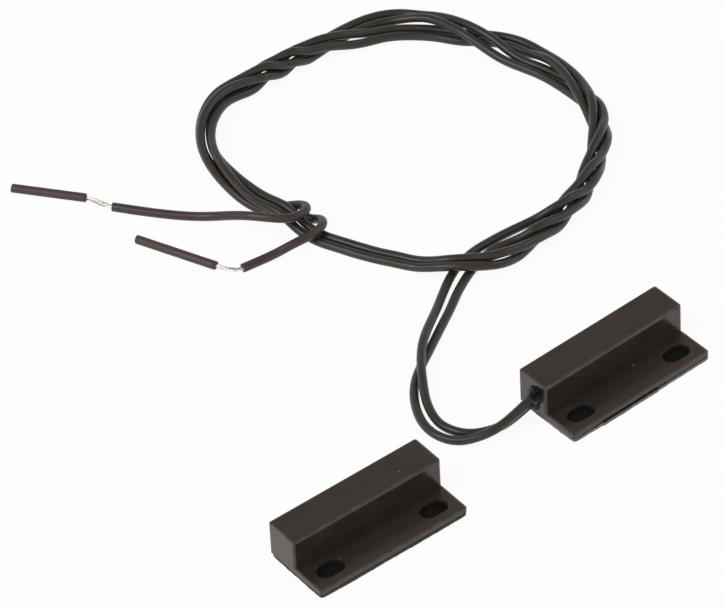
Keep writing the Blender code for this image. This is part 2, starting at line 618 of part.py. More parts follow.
def main():
    clear_scene()
    parts = new_collection("door_contact_sensor", True)
    cutters = new_collection("cutters", False)
    looks = {
        "plastic": material("black_plastic", (0.035, 0.028, 0.025), 0.45),
        "foam": material("grey_foam", (0.06, 0.06, 0.06), 0.9),
        "glue": material("black_glue", (0.01, 0.01, 0.011), 0.15),
        "potting": material("potting", (0.02, 0.02, 0.022), 0.5),
        "glass": material("reed_glass", (0.45, 0.6, 0.5), 0.05),
        "lead": material("plated_lead", (0.62, 0.58, 0.5), 0.3, 1.0),
        "solder": material("solder", (0.6, 0.6, 0.62), 0.35, 1.0),
        "wire": material("wire_insulation", (0.04, 0.032, 0.03), 0.5),
        "sleeve": material("sleeve_insulation", (0.05, 0.032, 0.03), 0.55),
        "tinned": material("tinned_strands", (0.7, 0.68, 0.62), 0.35, 1.0),
        "magnet": material("magnet", (0.4, 0.4, 0.42), 0.4, 1.0),
    }
    sensor_half(parts, cutters, looks)
    reed_switch(parts, looks)
    inner_wires(parts, looks)
    start_a = (WIRE_START, WIRE_A_Y, WIRE_A_Z)
    start_b = (WIRE_START, WIRE_B_Y, WIRE_B_Z)
    wire_a = wire_points(start_a, ROUTE_A_TAIL, LAY_A, ROUTE_A_END)
    wire_b = wire_points(start_b, ROUTE_B_TAIL, LAY_B, ROUTE_B_END)
    tube("wire_a", wire_a, WIRE_DIAMETER, parts, looks["wire"])
    tube("wire_b", wire_b, WIRE_DIAMETER, parts, looks["wire"])
    wire_end("a", wire_a, STRANDS_A, SLEEVE_A, parts, looks)
    wire_end("b", wire_b, STRANDS_B, SLEEVE_B, parts, looks)
    magnet_half(parts, cutters, looks)
    for name, run in (("wire_a", wire_a), ("wire_b", wire_b)):
        gap = between(run, run, 0.012) - WIRE_DIAMETER
        print(f"{name}: {len(run)} points, {POINT_STEP * (len(run) - 1) * 1000:.0f} mm, least gap to itself {gap * 1000:.2f} mm")
    print(f"least gap between the wires {(between(wire_a, wire_b, 0) - WIRE_DIAMETER) * 1000:.2f} mm")


main()
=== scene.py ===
"""Looks of the door contact: the wired reed half, its hand-wound loop of two wires, and the magnet half.

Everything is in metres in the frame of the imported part: the origin is the middle of the reed half's
mounting face, +X runs along the body away from the wires, +Y points to the tall block and +Z is up.
"""

from __future__ import annotations

import json
import logging
import math
from dataclasses import dataclass
from enum import Enum

import bmesh
import bpy
import numpy as np
from bpy.types import ID, Material, Mesh, Node, NodeOutputs, NodeSocket, NodeTree, Object
from mathutils import Matrix

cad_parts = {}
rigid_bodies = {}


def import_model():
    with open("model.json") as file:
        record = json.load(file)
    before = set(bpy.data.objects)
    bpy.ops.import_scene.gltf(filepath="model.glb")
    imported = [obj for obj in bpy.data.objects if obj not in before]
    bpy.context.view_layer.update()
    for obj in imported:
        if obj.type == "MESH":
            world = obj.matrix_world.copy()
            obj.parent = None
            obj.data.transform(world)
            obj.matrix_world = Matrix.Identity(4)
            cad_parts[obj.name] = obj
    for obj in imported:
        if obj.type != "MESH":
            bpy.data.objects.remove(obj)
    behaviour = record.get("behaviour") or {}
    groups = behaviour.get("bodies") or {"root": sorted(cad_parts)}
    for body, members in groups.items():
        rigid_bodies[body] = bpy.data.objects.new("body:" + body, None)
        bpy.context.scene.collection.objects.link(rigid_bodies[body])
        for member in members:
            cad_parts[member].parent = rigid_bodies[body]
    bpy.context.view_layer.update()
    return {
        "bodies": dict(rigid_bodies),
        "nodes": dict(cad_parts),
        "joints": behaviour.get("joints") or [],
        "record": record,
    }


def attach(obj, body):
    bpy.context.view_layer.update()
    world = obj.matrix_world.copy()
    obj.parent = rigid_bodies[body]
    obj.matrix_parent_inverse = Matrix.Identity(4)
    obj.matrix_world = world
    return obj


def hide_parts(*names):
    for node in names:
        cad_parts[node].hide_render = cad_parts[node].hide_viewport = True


LOG = logging.getLogger("door_contact")
PICTURE_WIDTH = 724
MM = 0.001
MERGE_DISTANCE = 1e-7
CRISP_ANGLE = math.radians(48)
FLAT_ANGLE = math.radians(0.5)
SAMPLES_PER_POINT = 60
UP = np.array([0.0, 0.0, 1.0])

# Places along the wires' pattern, in metres: the change to the tip's tone, a wire's cut, a sleeve's start
LAY_FADE = (0.40, 0.44)
LAY_AT_CUT = 0.45
LAY_AT_SLEEVE = 0.5


class Body(Enum):
    """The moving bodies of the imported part."""

    SENSOR = "sensor"
    MAGNET = "magnet"
    SLEEVE_A = "sleeve_a"
    SLEEVE_B = "sleeve_b"


class Slot(Enum):
    """The material slots of the record."""

    PLASTIC = "black_plastic"
    FOAM = "grey_foam"
    POTTING = "potting"
    GLUE = "black_glue"
    GLASS = "reed_glass"
    LEAD = "plated_lead"
    SOLDER = "solder"
    WIRE = "wire_insulation"
    SLEEVE = "sleeve_insulation"
    TINNED = "tinned_strands"
    MAGNET = "magnet"


# Shapes shared by the pieces


def unit(vectors: np.ndarray) -> np.ndarray:
    """The same directions with a length of one."""
    return vectors / np.linalg.norm(vectors, axis=-1, keepdims=True)


def ease(low: float, high: float, value: np.ndarray) -> np.ndarray:
    """A smooth step of values: 0 up to low, 1 from high, and the cubic 3t2 - 2t3 between them."""
    part = np.clip((value - low) / (high - low), 0.0, 1.0)
    return part * part * (3.0 - 2.0 * part)


def turn_of(count: int) -> np.ndarray:
    """Angles of an even ring of points, once round."""
    return np.linspace(0.0, math.tau, count, endpoint=False)


def along_keys(keys: tuple, value: np.ndarray) -> np.ndarray:
    """A smooth value through the keys, by cubic pieces whose slopes match where they meet.

    Args:
        keys: Pairs of place and value, in order.
        value: The places to read.

    Returns:
        The value at each place.
    """
    table = np.array(keys, dtype=float)
    gaps = np.diff(table[:, 0])
    rise = np.diff(table[:, 1]) / gaps
    inner = (rise[:-1] * gaps[1:] + rise[1:] * gaps[:-1]) / (gaps[1:] + gaps[:-1])
    slope = np.concatenate([rise[:1], inner, rise[-1:]])
    value = np.clip(value, table[0, 0], table[-1, 0])
    left = np.clip(np.searchsorted(table[:, 0], value) - 1, 0, len(gaps) - 1)
    part = (value - table[left, 0]) / gaps[left]
    near = (2 * part**3 - 3 * part**2 + 1) * table[left, 1]
    far = (3 * part**2 - 2 * part**3) * table[left + 1, 1]
    pull = (part**3 - 2 * part**2 + part) * slope[left] + (part**3 - part**2) * slope[left + 1]
    return near + far + pull * gaps[left]


def path_length(path: np.ndarray) -> np.ndarray:
    """The running length at every point of a path."""
    return np.concatenate([[0.0], np.cumsum(np.linalg.norm(np.diff(path, axis=0), axis=1))])


def natural_curve(points: np.ndarray, step: float, floor: float) -> np.ndarray:
    """Evenly spaced points on the natural cubic curve through the points, kept at or above a floor height.

    The knots lie at the running sum of the square roots of the chords, and the bends at the knots come
    from one set of linear equations with no bend at either end.

    Args:
        points: The points to pass through.
        step: The spacing of the result.
        floor: The least height of the curve.

    Returns:
        The points of the curve.
    """
    chord = np.sqrt(np.linalg.norm(np.diff(points, axis=0), axis=1))
    knots = np.concatenate([[0.0], np.cumsum(chord)])
    count = len(points)
    inner = np.arange(1, count - 1)
    matrix = np.zeros((count, count))
    matrix[[0, -1], [0, -1]] = 1.0
    matrix[inner, inner - 1] = chord[:-1]
    matrix[inner, inner] = 2 * (chord[:-1] + chord[1:])
    matrix[inner, inner + 1] = chord[1:]
    right = np.zeros((count, 3))
    right[1:-1] = 6 * np.diff(np.diff(points, axis=0) / chord[:, None], axis=0)
    bend = np.linalg.solve(matrix, right)
    fine = np.linspace(0.0, knots[-1], SAMPLES_PER_POINT * count)
    left = np.clip(np.searchsorted(knots, fine) - 1, 0, count - 2)
    width = chord[left][:, None]
    ahead = (knots[left + 1] - fine)[:, None]
    behind = (fine - knots[left])[:, None]
    curve = (bend[left] * ahead**3 + bend[left + 1] * behind**3) / (6 * width)
    curve = curve + (points[left] / width - bend[left] * width / 6) * ahead
    curve = curve + (points[left + 1] / width - bend[left + 1] * width / 6) * behind
    curve[:, 2] = np.maximum(curve[:, 2], floor)
    length = path_length(curve)
    even = np.linspace(0.0, length[-1], int(round(length[-1] / step)) + 1)
    return np.stack([np.interp(even, length, curve[:, axis]) for axis in range(3)], axis=1)


def path_frame(path: np.ndarray) -> tuple[np.ndarray, np.ndarray, np.ndarray]:
    """The directions along a path that never stands upright: ahead, level to the side, and up across both.

    Args:
        path: The points of the path.

    Returns:
        Unit vectors ahead, to the side and up at every point.
    """
    ahead = unit(np.gradient(path, axis=0))
    side = unit(np.cross(ahead, UP))
    return ahead, side, np.cross(side, ahead)


def rings_round(
    middle: np.ndarray, side: np.ndarray, up: np.ndarray, radius: np.ndarray, turn: np.ndarray
) -> np.ndarray:
    """Rings of points carried along a line.

    Args:
        middle: The middle of each ring, or one for all.
        side: The direction to the side at each ring, or one for all.
        up: The direction up at each ring, or one for all.
        radius: Rings by points, or rings by one.
        turn: The angles of a ring's points.

    Returns:
        Rings by points by three.
    """
    across = side[:, None] * (radius * np.cos(turn))[:, :, None]
    return middle[:, None] + across + up[:, None] * (radius * np.sin(turn))[:, :, None]


def wire_lay(turn: np.ndarray, run: np.ndarray) -> np.ndarray:
    """A wire's pattern coordinates: a circle of radius one round it, and metres along it."""
    return np.stack(np.broadcast_arrays(np.cos(turn)[None], np.sin(turn)[None], run), axis=2)


def rounded_outline(corners: tuple, steps: int) -> np.ndarray:
    """A closed outline with square corners rounded to arcs.

    An arc of radius r at a corner between the directions d1 in and d2 out has its centre at
    corner + r (d2 - d1), and its points are centre + r (d1 sin t - d2 cos t) for t up to a quarter turn.

    Args:
        corners: Points (a, b, radius) in order, every corner square.
        steps: Facets of each arc.

    Returns:
        The points of the outline.
    """
    table = np.array(corners, dtype=float)
    place = table[:, :2]
    radius = table[:, 2][:, None, None]
    ahead = unit(np.roll(place, -1, axis=0) - place)
    before = np.roll(ahead, 1, axis=0)
    turn = np.linspace(0.0, math.pi / 2, steps + 1)[None, :, None]
    centre = place[:, None] + radius * (ahead - before)[:, None]
    arcs = centre + radius * (before[:, None] * np.sin(turn) - ahead[:, None] * np.cos(turn))
    return arcs.reshape(-1, 2)


def obround(length: float, width: float, steps: int) -> np.ndarray:
    """A slot outline about the origin: two half circles joined by straight sides.

    Args:
        length: Whole length, along the first axis.
        width: Whole width.
        steps: Facets of each half circle.

    Returns:
        The points of the outline.
    """
    turn = np.linspace(-math.pi / 2, math.pi / 2, steps + 1)
    reach = (length - width) / 2
    one = np.stack([reach + np.cos(turn) * width / 2, np.sin(turn) * width / 2], axis=1)
    return np.concatenate([one, -one])


class Skin:
    """Gathers surfaces that are worked out as grids of points, and makes one closed mesh of them."""

    def __init__(self) -> None:
        """Starts with no surface."""
        self.points: list[np.ndarray] = []
        self.faces: list[list[int]] = []
        self.lays: list[np.ndarray] = []
        self.count = 0

    def add(self, grid: np.ndarray, lay: np.ndarray | None = None, loop: bool = False) -> Skin:
        """Adds rings of points, with a square face between every four neighbours.

        Args:
            grid: Rings by points by three.
            lay: The pattern's coordinates in the same shape, or None for the points themselves.
            loop: Whether the last ring joins the first.

        Returns:
            This skin, as for every way of adding.
        """
        rows, columns = grid.shape[:2]
        index = np.arange(rows * columns).reshape(rows, columns) + self.count
        index = np.vstack([index, index[:1]]) if loop else index
        index = np.hstack([index, index[:, :1]])
        quads = np.stack([index[:-1, :-1], index[1:, :-1], index[1:, 1:], index[:-1, 1:]], axis=-1)
        self.points.append(grid.reshape(-1, 3))
        self.lays.append((grid if lay is None else lay).reshape(-1, 3))
        self.faces.extend(quads.reshape(-1, 4).tolist())
        self.count += rows * columns
        return self

    def loft(self, grid: np.ndarray) -> Skin:
        """Adds a closed solid: rings of points, with one face over the first and one over the last.

        Args:
            grid: Rings by points by three.

        Returns:
            This skin.
        """
        rows, columns = grid.shape[:2]
        first = self.count
        last = first + (rows - 1) * columns
        self.add(grid)
        self.faces.append(list(range(first, first + columns)))
        self.faces.append(list(range(last, last + columns)))
        return self

    def prism(self, outline: np.ndarray, low: float, high: float, axis: int) -> Skin:
        """Adds a closed prism: a flat outline at two places along an axis.

        Args:
            outline: Points in the two other axes, in their own order.
            low: The lower place.
            high: The higher place.
            axis: The axis that the prism runs along.

        Returns:
            This skin.
        """
        grid = np.empty((2, len(outline), 3))
        others = [other for other in range(3) if other != axis]
        grid[:, :, others] = outline[None]
        grid[:, :, axis] = np.array([low, high])[:, None]
        return self.loft(grid)

    def mesh(self, name: str, sharp: float = 45.0) -> Mesh:
        """Makes the mesh, with coinciding points merged and all faces turned outwards.

        Args:
            name: The mesh's name.
            sharp: Edges that turn by more degrees than this stay crisp.

        Returns:
            The mesh, shaded smooth, with the pattern's coordinates in its attribute lay.
        """
        made = bpy.data.meshes.new(name)
        made.from_pydata(np.concatenate(self.points).tolist(), [], self.faces)
        lay = made.attributes.new("lay", "FLOAT_VECTOR", "POINT")
        lay.data.foreach_set("vector", np.concatenate(self.lays).astype(np.float32).ravel())
        tidy_mesh(made)
        made.shade_smooth()
        made.set_sharp_from_angle(angle=math.radians(sharp))
        return made


def tidy_mesh(mesh: Mesh, join_flat: bool = False) -> None:
    """Merges coinciding points and turns the faces outwards.

    Args:
        mesh: The mesh to change.
        join_flat: Whether faces in one plane are joined, or only faces without area are dropped.
    """
    work = bmesh.new()
    work.from_mesh(mesh)
    bmesh.ops.remove_doubles(work, verts=work.verts, dist=MERGE_DISTANCE)
    if join_flat:
        bmesh.ops.dissolve_limit(work, angle_limit=FLAT_ANGLE, verts=work.verts, edges=work.edges)
    else:
        bmesh.ops.dissolve_degenerate(work, edges=work.edges, dist=MERGE_DISTANCE / 10)
    bmesh.ops.recalc_face_normals(work, faces=work.faces)
    work.to_mesh(mesh)
    work.free()


def applied(mesh: Mesh, kind: str, **settings: object) -> Mesh:
    """The mesh that one modifier makes of a mesh.

    Args:
        mesh: The mesh before.
        kind: The modifier's type.
        settings: The modifier's values.

    Returns:
        The new mesh.
    """
    holder = bpy.data.objects.new("work", mesh)
    bpy.context.scene.collection.objects.link(holder)
    step = holder.modifiers.new("step", kind)
    for name, value in settings.items():
        setattr(step, name, value)
    bpy.context.view_layer.update()
    depsgraph = bpy.context.evaluated_depsgraph_get()
    made = bpy.data.meshes.new_from_object(holder.evaluated_get(depsgraph), depsgraph=depsgraph)
    bpy.data.objects.remove(holder)
    return made


def cut_out(mesh: Mesh, tool: Skin) -> Mesh:
    """The mesh that is left when a gathered solid is cut out of it.

    Args:
        mesh: The mesh before.
        tool: The solid that is cut out.

    Returns:
        The new mesh.
    """
    cutter = bpy.data.objects.new("tool", tool.mesh("tool"))
    bpy.context.scene.collection.objects.link(cutter)
    made = applied(mesh, "BOOLEAN", operation="DIFFERENCE", solver="EXACT", object=cutter)
    bpy.data.objects.remove(cutter)
    return made


# Finishes


class Nodes:
    """Adds nodes to a node tree, each with its settings, values and links."""

    def __init__(self, tree: NodeTree) -> None:
        """Keeps the tree."""
        self.tree = tree

    def feed(self, socket: NodeSocket, value: object) -> None:
        """Sets a socket or links it.

        Args:
            socket: The input.
            value: A plain value, a colour of three parts, or the output that feeds it.
        """
        if isinstance(value, NodeSocket):
            self.tree.links.new(value, socket)
        else:
            socket.default_value = (*value, 1.0) if socket.type == "RGBA" else value

    def add(self, kind: str, values: dict | None = None, **settings: object) -> Node:
        """Adds one node.

        Args:
            kind: The node's type, without its first word unless it is a group's end.
            values: Sockets by name or number, each a plain value or the output that feeds it.
            settings: The node's own properties.

        Returns:
            The node.
        """
        node = self.tree.nodes.new(kind if kind.startswith("NodeGroup") else "ShaderNode" + kind)
        for name, value in settings.items():
            setattr(node, name, value)
        for name, value in (values or {}).items():
            self.feed(node.inputs[name], value)
        return node

    def math(self, operation: str, *values: object) -> NodeSocket:
        """One sum of values or outputs, and its result."""
        return self.add("Math", dict(enumerate(values)), operation=operation).outputs[0]

    def span(
        self, value: object, low: float, high: float, to_low: float = 0.0, to_high: float = 1.0
    ) -> NodeSocket:
        """A smooth map of a value from one span to another, held at the ends."""
        values = {"Value": value, "From Min": low, "From Max": high, "To Min": to_low, "To Max": to_high}
        return self.add("MapRange", values, interpolation_type="SMOOTHSTEP").outputs["Result"]

    def tint(self, mask: object, under: object, over: object, share: float = 1.0) -> NodeSocket:
        """A colour that goes from one to another by a share of a mask."""
        mask = mask if share == 1.0 else self.math("MULTIPLY", mask, share)
        return self.add("Mix", {0: mask, 6: under, 7: over}, data_type="RGBA").outputs[2]

    def noise(self, vector: object, scale: object, detail: float, rough: float = 0.5) -> NodeSocket:
        """Even noise from 0 to 1."""
        values = {"Vector": vector, "Scale": scale, "Detail": detail, "Roughness": rough}
        return self.add("TexNoise", values).outputs["Fac"]

    def stretched(self, vector: object, scale: tuple, yaw: float = 0.0) -> NodeSocket:
        """Coordinates turned about Z and then scaled along each axis."""
        turned = self.add("Mapping", {"Vector": vector, "Rotation": (0.0, 0.0, yaw)})
        return self.add("Mapping", {"Vector": turned.outputs[0], "Scale": scale}).outputs[0]


class Effect(Nodes):
    """A shader node group that several finishes share, built once with named inputs and outputs."""

    made: dict[str, NodeTree] = {}

    def __init__(self, name: str, inputs: dict) -> None:
        """Starts a group.

        Args:
            name: The group's name.
            inputs: Socket types by name.
        """
        super().__init__(bpy.data.node_groups.new(name, "ShaderNodeTree"))
        for label, kind in inputs.items():
            self.tree.interface.new_socket(label, in_out="INPUT", socket_type="NodeSocket" + kind)
        self.given = self.add("NodeGroupInput").outputs
        Effect.made[name] = self.tree

    def put_out(self, **values: NodeSocket) -> None:
        """Ends the group with the values that it puts out.

        Args:
            values: The output that feeds each value, by name.
        """
        for label in values:
            self.tree.interface.new_socket(label, in_out="OUTPUT", socket_type="NodeSocketFloat")
        self.add("NodeGroupOutput", values)

    @classmethod
    def grain(cls) -> None:
        """Moulded skin: a fine pebble, and a slow mottle of tone that stands for flow and handling."""
        group = cls("moulded_grain", {"Vector": "Vector", "Pebble": "Float"})
        slow = group.noise(group.given[0], 240.0, 4.0, 0.6)
        pebble = group.noise(group.given[0], group.given[1], 3.0)
        group.put_out(Height=pebble, Mottle=group.span(slow, 0.3, 0.7))

    @classmethod
    def specks(cls) -> None:
        """Dust: few small dots, one in some cells of a coarse cell pattern, each with its own size."""
        group = cls("dust_specks", {"Vector": "Vector", "Cells": "Float", "Share": "Float"})
        cells = group.add("TexVoronoi", {"Vector": group.given[0], "Scale": group.given[1]})
        chance = group.add("SeparateColor", {0: cells.outputs["Color"]})
        chosen = group.math("LESS_THAN", chance.outputs[0], group.given[2])
        size = group.math("MULTIPLY_ADD", chance.outputs[1], 0.09, 0.035)
        near = group.math("SUBTRACT", 1.0, group.math("DIVIDE", cells.outputs["Distance"], size))
        group.put_out(Mask=group.math("MULTIPLY", group.span(near, 0.0, 0.5), chosen))

    @classmethod
    def scuffs(cls) -> None:
        """Hairline rubs: two fields of long thin noise across each other, where a slow noise is high."""
        group = cls("hairline_scuffs", {"Vector": "Vector"})
        along = group.stretched(group.given[0], (160.0, 5200.0, 2400.0), 0.35)
        across = group.stretched(group.given[0], (4600.0, 220.0, 2400.0), -0.5)
        lines = group.math("MAXIMUM", group.noise(along, 1.0, 2.0), group.noise(across, 1.0, 2.0))
        where = group.span(group.noise(group.given[0], 150.0, 2.0), 0.52, 0.66)
        group.put_out(Mask=group.math("MULTIPLY", group.span(lines, 0.66, 0.74), where))

    @classmethod
    def rubbed_edges_and_highlight(cls) -> None:
        """Rubbed edges and a painted edge highlight: the edge mask broken up by noise, so that some stretches
        are painted lighter than others.
        """
        group = cls("edge_wear_and_painted_highlight", {"Vector": "Vector", "Edge": "Float"})
        patchy = group.span(group.noise(group.given[0], 420.0, 4.0, 0.65), 0.32, 0.68, 0.25)
        group.put_out(Mask=group.math("MULTIPLY", group.given[1], patchy))

    @classmethod
    def streaks(cls) -> None:
        """Drawn insulation: fine lines along the wire and a slow change of tone, in its own coordinates."""
        group = cls("drawn_streaks", {"Lay": "Vector"})
        lines = group.noise(group.stretched(group.given[0], (7.0, 7.0, 60.0)), 1.0, 3.0, 0.6)
        slow = group.noise(group.stretched(group.given[0], (1.2, 1.2, 220.0)), 1.0, 4.0, 0.6)
        group.put_out(Height=lines, Tone=group.span(slow, 0.3, 0.7))

    @classmethod
    def build_all(cls) -> None:
        """Builds every group once."""
        for build in (cls.grain, cls.specks, cls.scuffs, cls.rubbed_edges_and_highlight, cls.streaks):
            build()


class Finish(Nodes):
    """The nodes of a material with one Principled shader."""

    def __init__(self, slot: Slot) -> None:
        """Makes the material, and finds its shader and the piece's own coordinates in metres.

        Args:
            slot: The slot that it is named after.
        """
        self.material = bpy.data.materials.new(slot.value)
        self.material.use_nodes = True
        super().__init__(self.material.node_tree)
        self.shader = self.tree.nodes["Principled BSDF"]
        self.where = self.add("TexCoord").outputs["Object"]

    def set(self, **values: object) -> None:
        """Sets or feeds the shader's own sockets, with spaces in their names written as underscores."""
        for name, value in values.items():
            self.feed(self.shader.inputs[name.replace("_", " ")], value)

    def effect(self, name: str, **values: object) -> NodeOutputs:
        """Places a shared effect on the piece's own coordinates.

        Args:
            name: The effect's name.
            values: Its inputs, apart from the coordinates.

        Returns:
            Its outputs.
        """
        node = self.add("Group", values, node_tree=Effect.made[name])
        if "Vector" in node.inputs:
            self.feed(node.inputs["Vector"], self.where)
        return node.outputs

    def stored(self, name: str, part: str) -> NodeSocket:
        """A value that the piece carries on its mesh."""
        return self.add("Attribute", attribute_name=name).outputs[part]

    def bump(self, height: object, strength: float, depth: float) -> None:
        """Feeds a height to the shader's normal: a share of it, where a value of one is so many metres."""
        node = self.add("Bump", {"Height": height, "Strength": strength, "Distance": depth})
        self.set(Normal=node.outputs["Normal"])


@dataclass(frozen=True)
class Coat:
    """The finish of one slot, which each kind of coat paints from its own tones."""

    slot: Slot

    def make(self) -> Material:
        """Makes the slot's material and paints it.

        Returns:
            The material.
        """
        finish = Finish(self.slot)
        self.paint(finish)
        return finish.material

    def paint(self, finish: Finish) -> None:
        """Joins the coat's nodes to the shader."""
        raise NotImplementedError


@dataclass(frozen=True)
class MouldedPlastic(Coat):
    """The dark brown satin plastic of both shells."""

    slot: Slot = Slot.PLASTIC
    colour: tuple = (0.0256, 0.0205, 0.0158)
    warm: tuple = (0.0312, 0.0240, 0.0186)
    sheen: tuple = (1.0, 0.77, 0.72)
    # rubbed is the tone of hairline rubs, and also the painted highlight along the rounded edges
    rubbed: tuple = (0.085, 0.076, 0.068)
    dust: tuple = (0.45, 0.42, 0.38)
    roughness: float = 0.20

    def paint(self, finish: Finish) -> None:
        """Paints grain, rubbed edges with a painted highlight on them, hairlines and a few specks of dust.

        Args:
            finish: The nodes to join to its shader.
        """
        grain = finish.effect("moulded_grain", Pebble=5200.0)
        edge = finish.effect("edge_wear_and_painted_highlight", Edge=finish.stored("edge", "Fac"))[0]
        scuff = finish.effect("hairline_scuffs")[0]
        speck = finish.effect("dust_specks", Cells=330.0, Share=0.10)[0]
        colour = finish.tint(grain["Mottle"], self.colour, self.warm)
        # Painted highlight: the rounded edge faces are lightened towards the rubbed tone, partly for wear and
        # partly to stand in for their highlight
        colour = finish.tint(edge, colour, self.rubbed, 0.55)
        colour = finish.tint(scuff, colour, self.rubbed, 0.22)
        colour = finish.tint(speck, colour, self.dust, 0.6)
        rough = finish.span(grain["Mottle"], 0.0, 1.0, self.roughness - 0.03, self.roughness + 0.05)
        rough = finish.math("MULTIPLY_ADD", scuff, 0.12, rough)
        rough = finish.math("MULTIPLY_ADD", speck, 0.3, rough)
        finish.set(Base_Color=colour, Roughness=rough, IOR=1.6)
        finish.set(Specular_IOR_Level=0.40, Specular_Tint=self.sheen)
        finish.bump(finish.math("MULTIPLY_ADD", scuff, -0.6, grain["Height"]), 0.35, 0.000012)


@dataclass(frozen=True)
class PadFoam(Coat):
    """The dark closed-cell foam of the mounting pads, paler where it is cut."""

    slot: Slot = Slot.FOAM
    skin: tuple = (0.004, 0.0039, 0.0038)
    cut: tuple = (0.150, 0.147, 0.140)
    torn: tuple = (0.30, 0.295, 0.285)
    dust: tuple = (0.62, 0.60, 0.56)

    def paint(self, finish: Finish) -> None:
        """Paints a dark skin, small open cells on its cut side and a few pale specks.

        Args:
            finish: The nodes to join to its shader.
        """
        lay = finish.add("SeparateXYZ", {0: finish.stored("lay", "Vector")})
        cells = finish.add("TexVoronoi", {"Vector": finish.where, "Scale": 5200.0})
        ragged = finish.span(finish.noise(finish.where, 2600.0, 4.0, 0.7), 0.42, 0.66)
        speck = finish.effect("dust_specks", Cells=260.0, Share=0.10)[0]
        side = finish.tint(ragged, self.cut, self.torn, 0.6)
        colour = finish.tint(lay.outputs[0], self.skin, side)
        colour = finish.tint(speck, colour, self.dust, 0.8)
        rough = finish.span(ragged, 0.0, 1.0, 0.75, 0.92)
        finish.set(Base_Color=colour, Roughness=rough, Specular_IOR_Level=0.2)
        finish.bump(finish.math("ADD", cells.outputs["Distance"], ragged), 0.6, 0.00003)


@dataclass(frozen=True)
class Glue(Coat):
    """The glossy black glue round the wires."""

    slot: Slot = Slot.GLUE
    colour: tuple = (0.0035, 0.0035, 0.0042)
    dust: tuple = (0.3, 0.29, 0.27)

    def paint(self, finish: Finish) -> None:
        """Paints a wet near black, with slow swells and a little dust in it.

        Args:
            finish: The nodes to join to its shader.
        """
        swell = finish.noise(finish.where, 700.0, 2.0)
        speck = finish.effect("dust_specks", Cells=900.0, Share=0.04)[0]
        finish.set(Base_Color=finish.tint(speck, self.colour, self.dust, 0.4))
        finish.set(Roughness=finish.span(swell, 0.3, 0.7, 0.06, 0.14), IOR=1.5, Specular_IOR_Level=0.07)
        finish.bump(swell, 0.25, 0.00008)


@dataclass(frozen=True)
class Insulation(Coat):
    """The drawn insulation of the wires, or of the cut sleeves on their ends.

    Along the last stretch before a wire's cut its tone goes over to the tip's. The pattern of a sleeve
    starts past that stretch, so a sleeve shows the tip's tone alone.
    """

    tip: tuple
    roughness: float
    colour: tuple = (0.0225, 0.0178, 0.0140)
    warm: tuple = (0.0295, 0.0235, 0.0185)
    rubbed: tuple = (0.13, 0.115, 0.10)
    dust: tuple = (0.36, 0.34, 0.30)

    def paint(self, finish: Finish) -> None:
        """Paints lines along the wire, slow changes of tone, rubs and dust.

        Args:
            finish: The nodes to join to its shader.
        """
        lay = finish.stored("lay", "Vector")
        streak = finish.effect("drawn_streaks", Lay=lay)
        speck = finish.effect("dust_specks", Cells=520.0, Share=0.05)[0]
        scuff = finish.effect("hairline_scuffs")[0]
        near_cut = finish.span(finish.add("SeparateXYZ", {0: lay}).outputs[2], *LAY_FADE)
        colour = finish.tint(streak["Tone"], self.colour, self.warm)
        colour = finish.tint(near_cut, colour, self.tip)
        colour = finish.tint(scuff, colour, self.rubbed, 0.25)
        colour = finish.tint(speck, colour, self.dust, 0.5)
        rough = finish.span(streak["Tone"], 0.0, 1.0, self.roughness - 0.04, self.roughness + 0.05)
        finish.set(Base_Color=colour, Roughness=finish.math("MULTIPLY_ADD", scuff, 0.12, rough), IOR=1.47)
        finish.bump(streak["Height"], 0.3, 0.00002)


@dataclass(frozen=True)
class Metal(Coat):
    """A plated, soldered or tinned metal with its own tones, gloss, marks per metre and depth of dents."""

    colour: tuple
    shade: tuple
    roughness: float
    marks: float
    depth: float

    def paint(self, finish: Finish) -> None:
        """Paints a cloudy tone, patchy gloss and small dents.

        Args:
            finish: The nodes to join to its shader.
        """
        cloud = finish.span(finish.noise(finish.where, self.marks, 4.0, 0.6), 0.3, 0.7)
        fine = finish.noise(finish.where, self.marks * 6.0, 3.0)
        finish.set(Base_Color=finish.tint(cloud, self.colour, self.shade), Metallic=1.0)
        finish.set(Roughness=finish.span(fine, 0.25, 0.75, self.roughness - 0.07, self.roughness + 0.10))
        finish.bump(fine, 0.35, self.depth)


@dataclass(frozen=True)
class Potting(Coat):
    """The cured resin inside the shells."""

    slot: Slot = Slot.POTTING
    colour: tuple = (0.016, 0.016, 0.018)
    cloud: tuple = (0.026, 0.026, 0.028)
    pore: tuple = (0.004, 0.004, 0.004)

    def paint(self, finish: Finish) -> None:
        """Paints dark resin with small pores and a cloudy gloss.

        Args:
            finish: The nodes to join to its shader.
        """
        grain = finish.effect("moulded_grain", Pebble=2600.0)
        pores = finish.effect("dust_specks", Cells=800.0, Share=0.2)[0]
        colour = finish.tint(grain["Mottle"], self.colour, self.cloud)
        finish.set(Base_Color=finish.tint(pores, colour, self.pore))
        finish.set(Roughness=finish.span(grain["Mottle"], 0.0, 1.0, 0.32, 0.5))
        finish.bump(finish.math("SUBTRACT", grain["Height"], pores), 0.4, 0.00003)


@dataclass(frozen=True)
class ReedGlass(Coat):
    """The faintly green glass of the reed's tube."""

    slot: Slot = Slot.GLASS
    colour: tuple = (0.80, 0.93, 0.85)
    pale: tuple = (0.86, 0.95, 0.90)

    def paint(self, finish: Finish) -> None:
        """Paints clear glass with slow drawn ripples.

        Args:
            finish: The nodes to join to its shader.
        """
        ripple = finish.noise(finish.stretched(finish.where, (300.0, 1500.0, 1500.0)), 1.0, 2.0)
        finish.set(Base_Color=finish.tint(ripple, self.colour, self.pale))
        finish.set(Roughness=0.04, Transmission_Weight=1.0, IOR=1.5)
        finish.bump(ripple, 0.2, 0.00003)


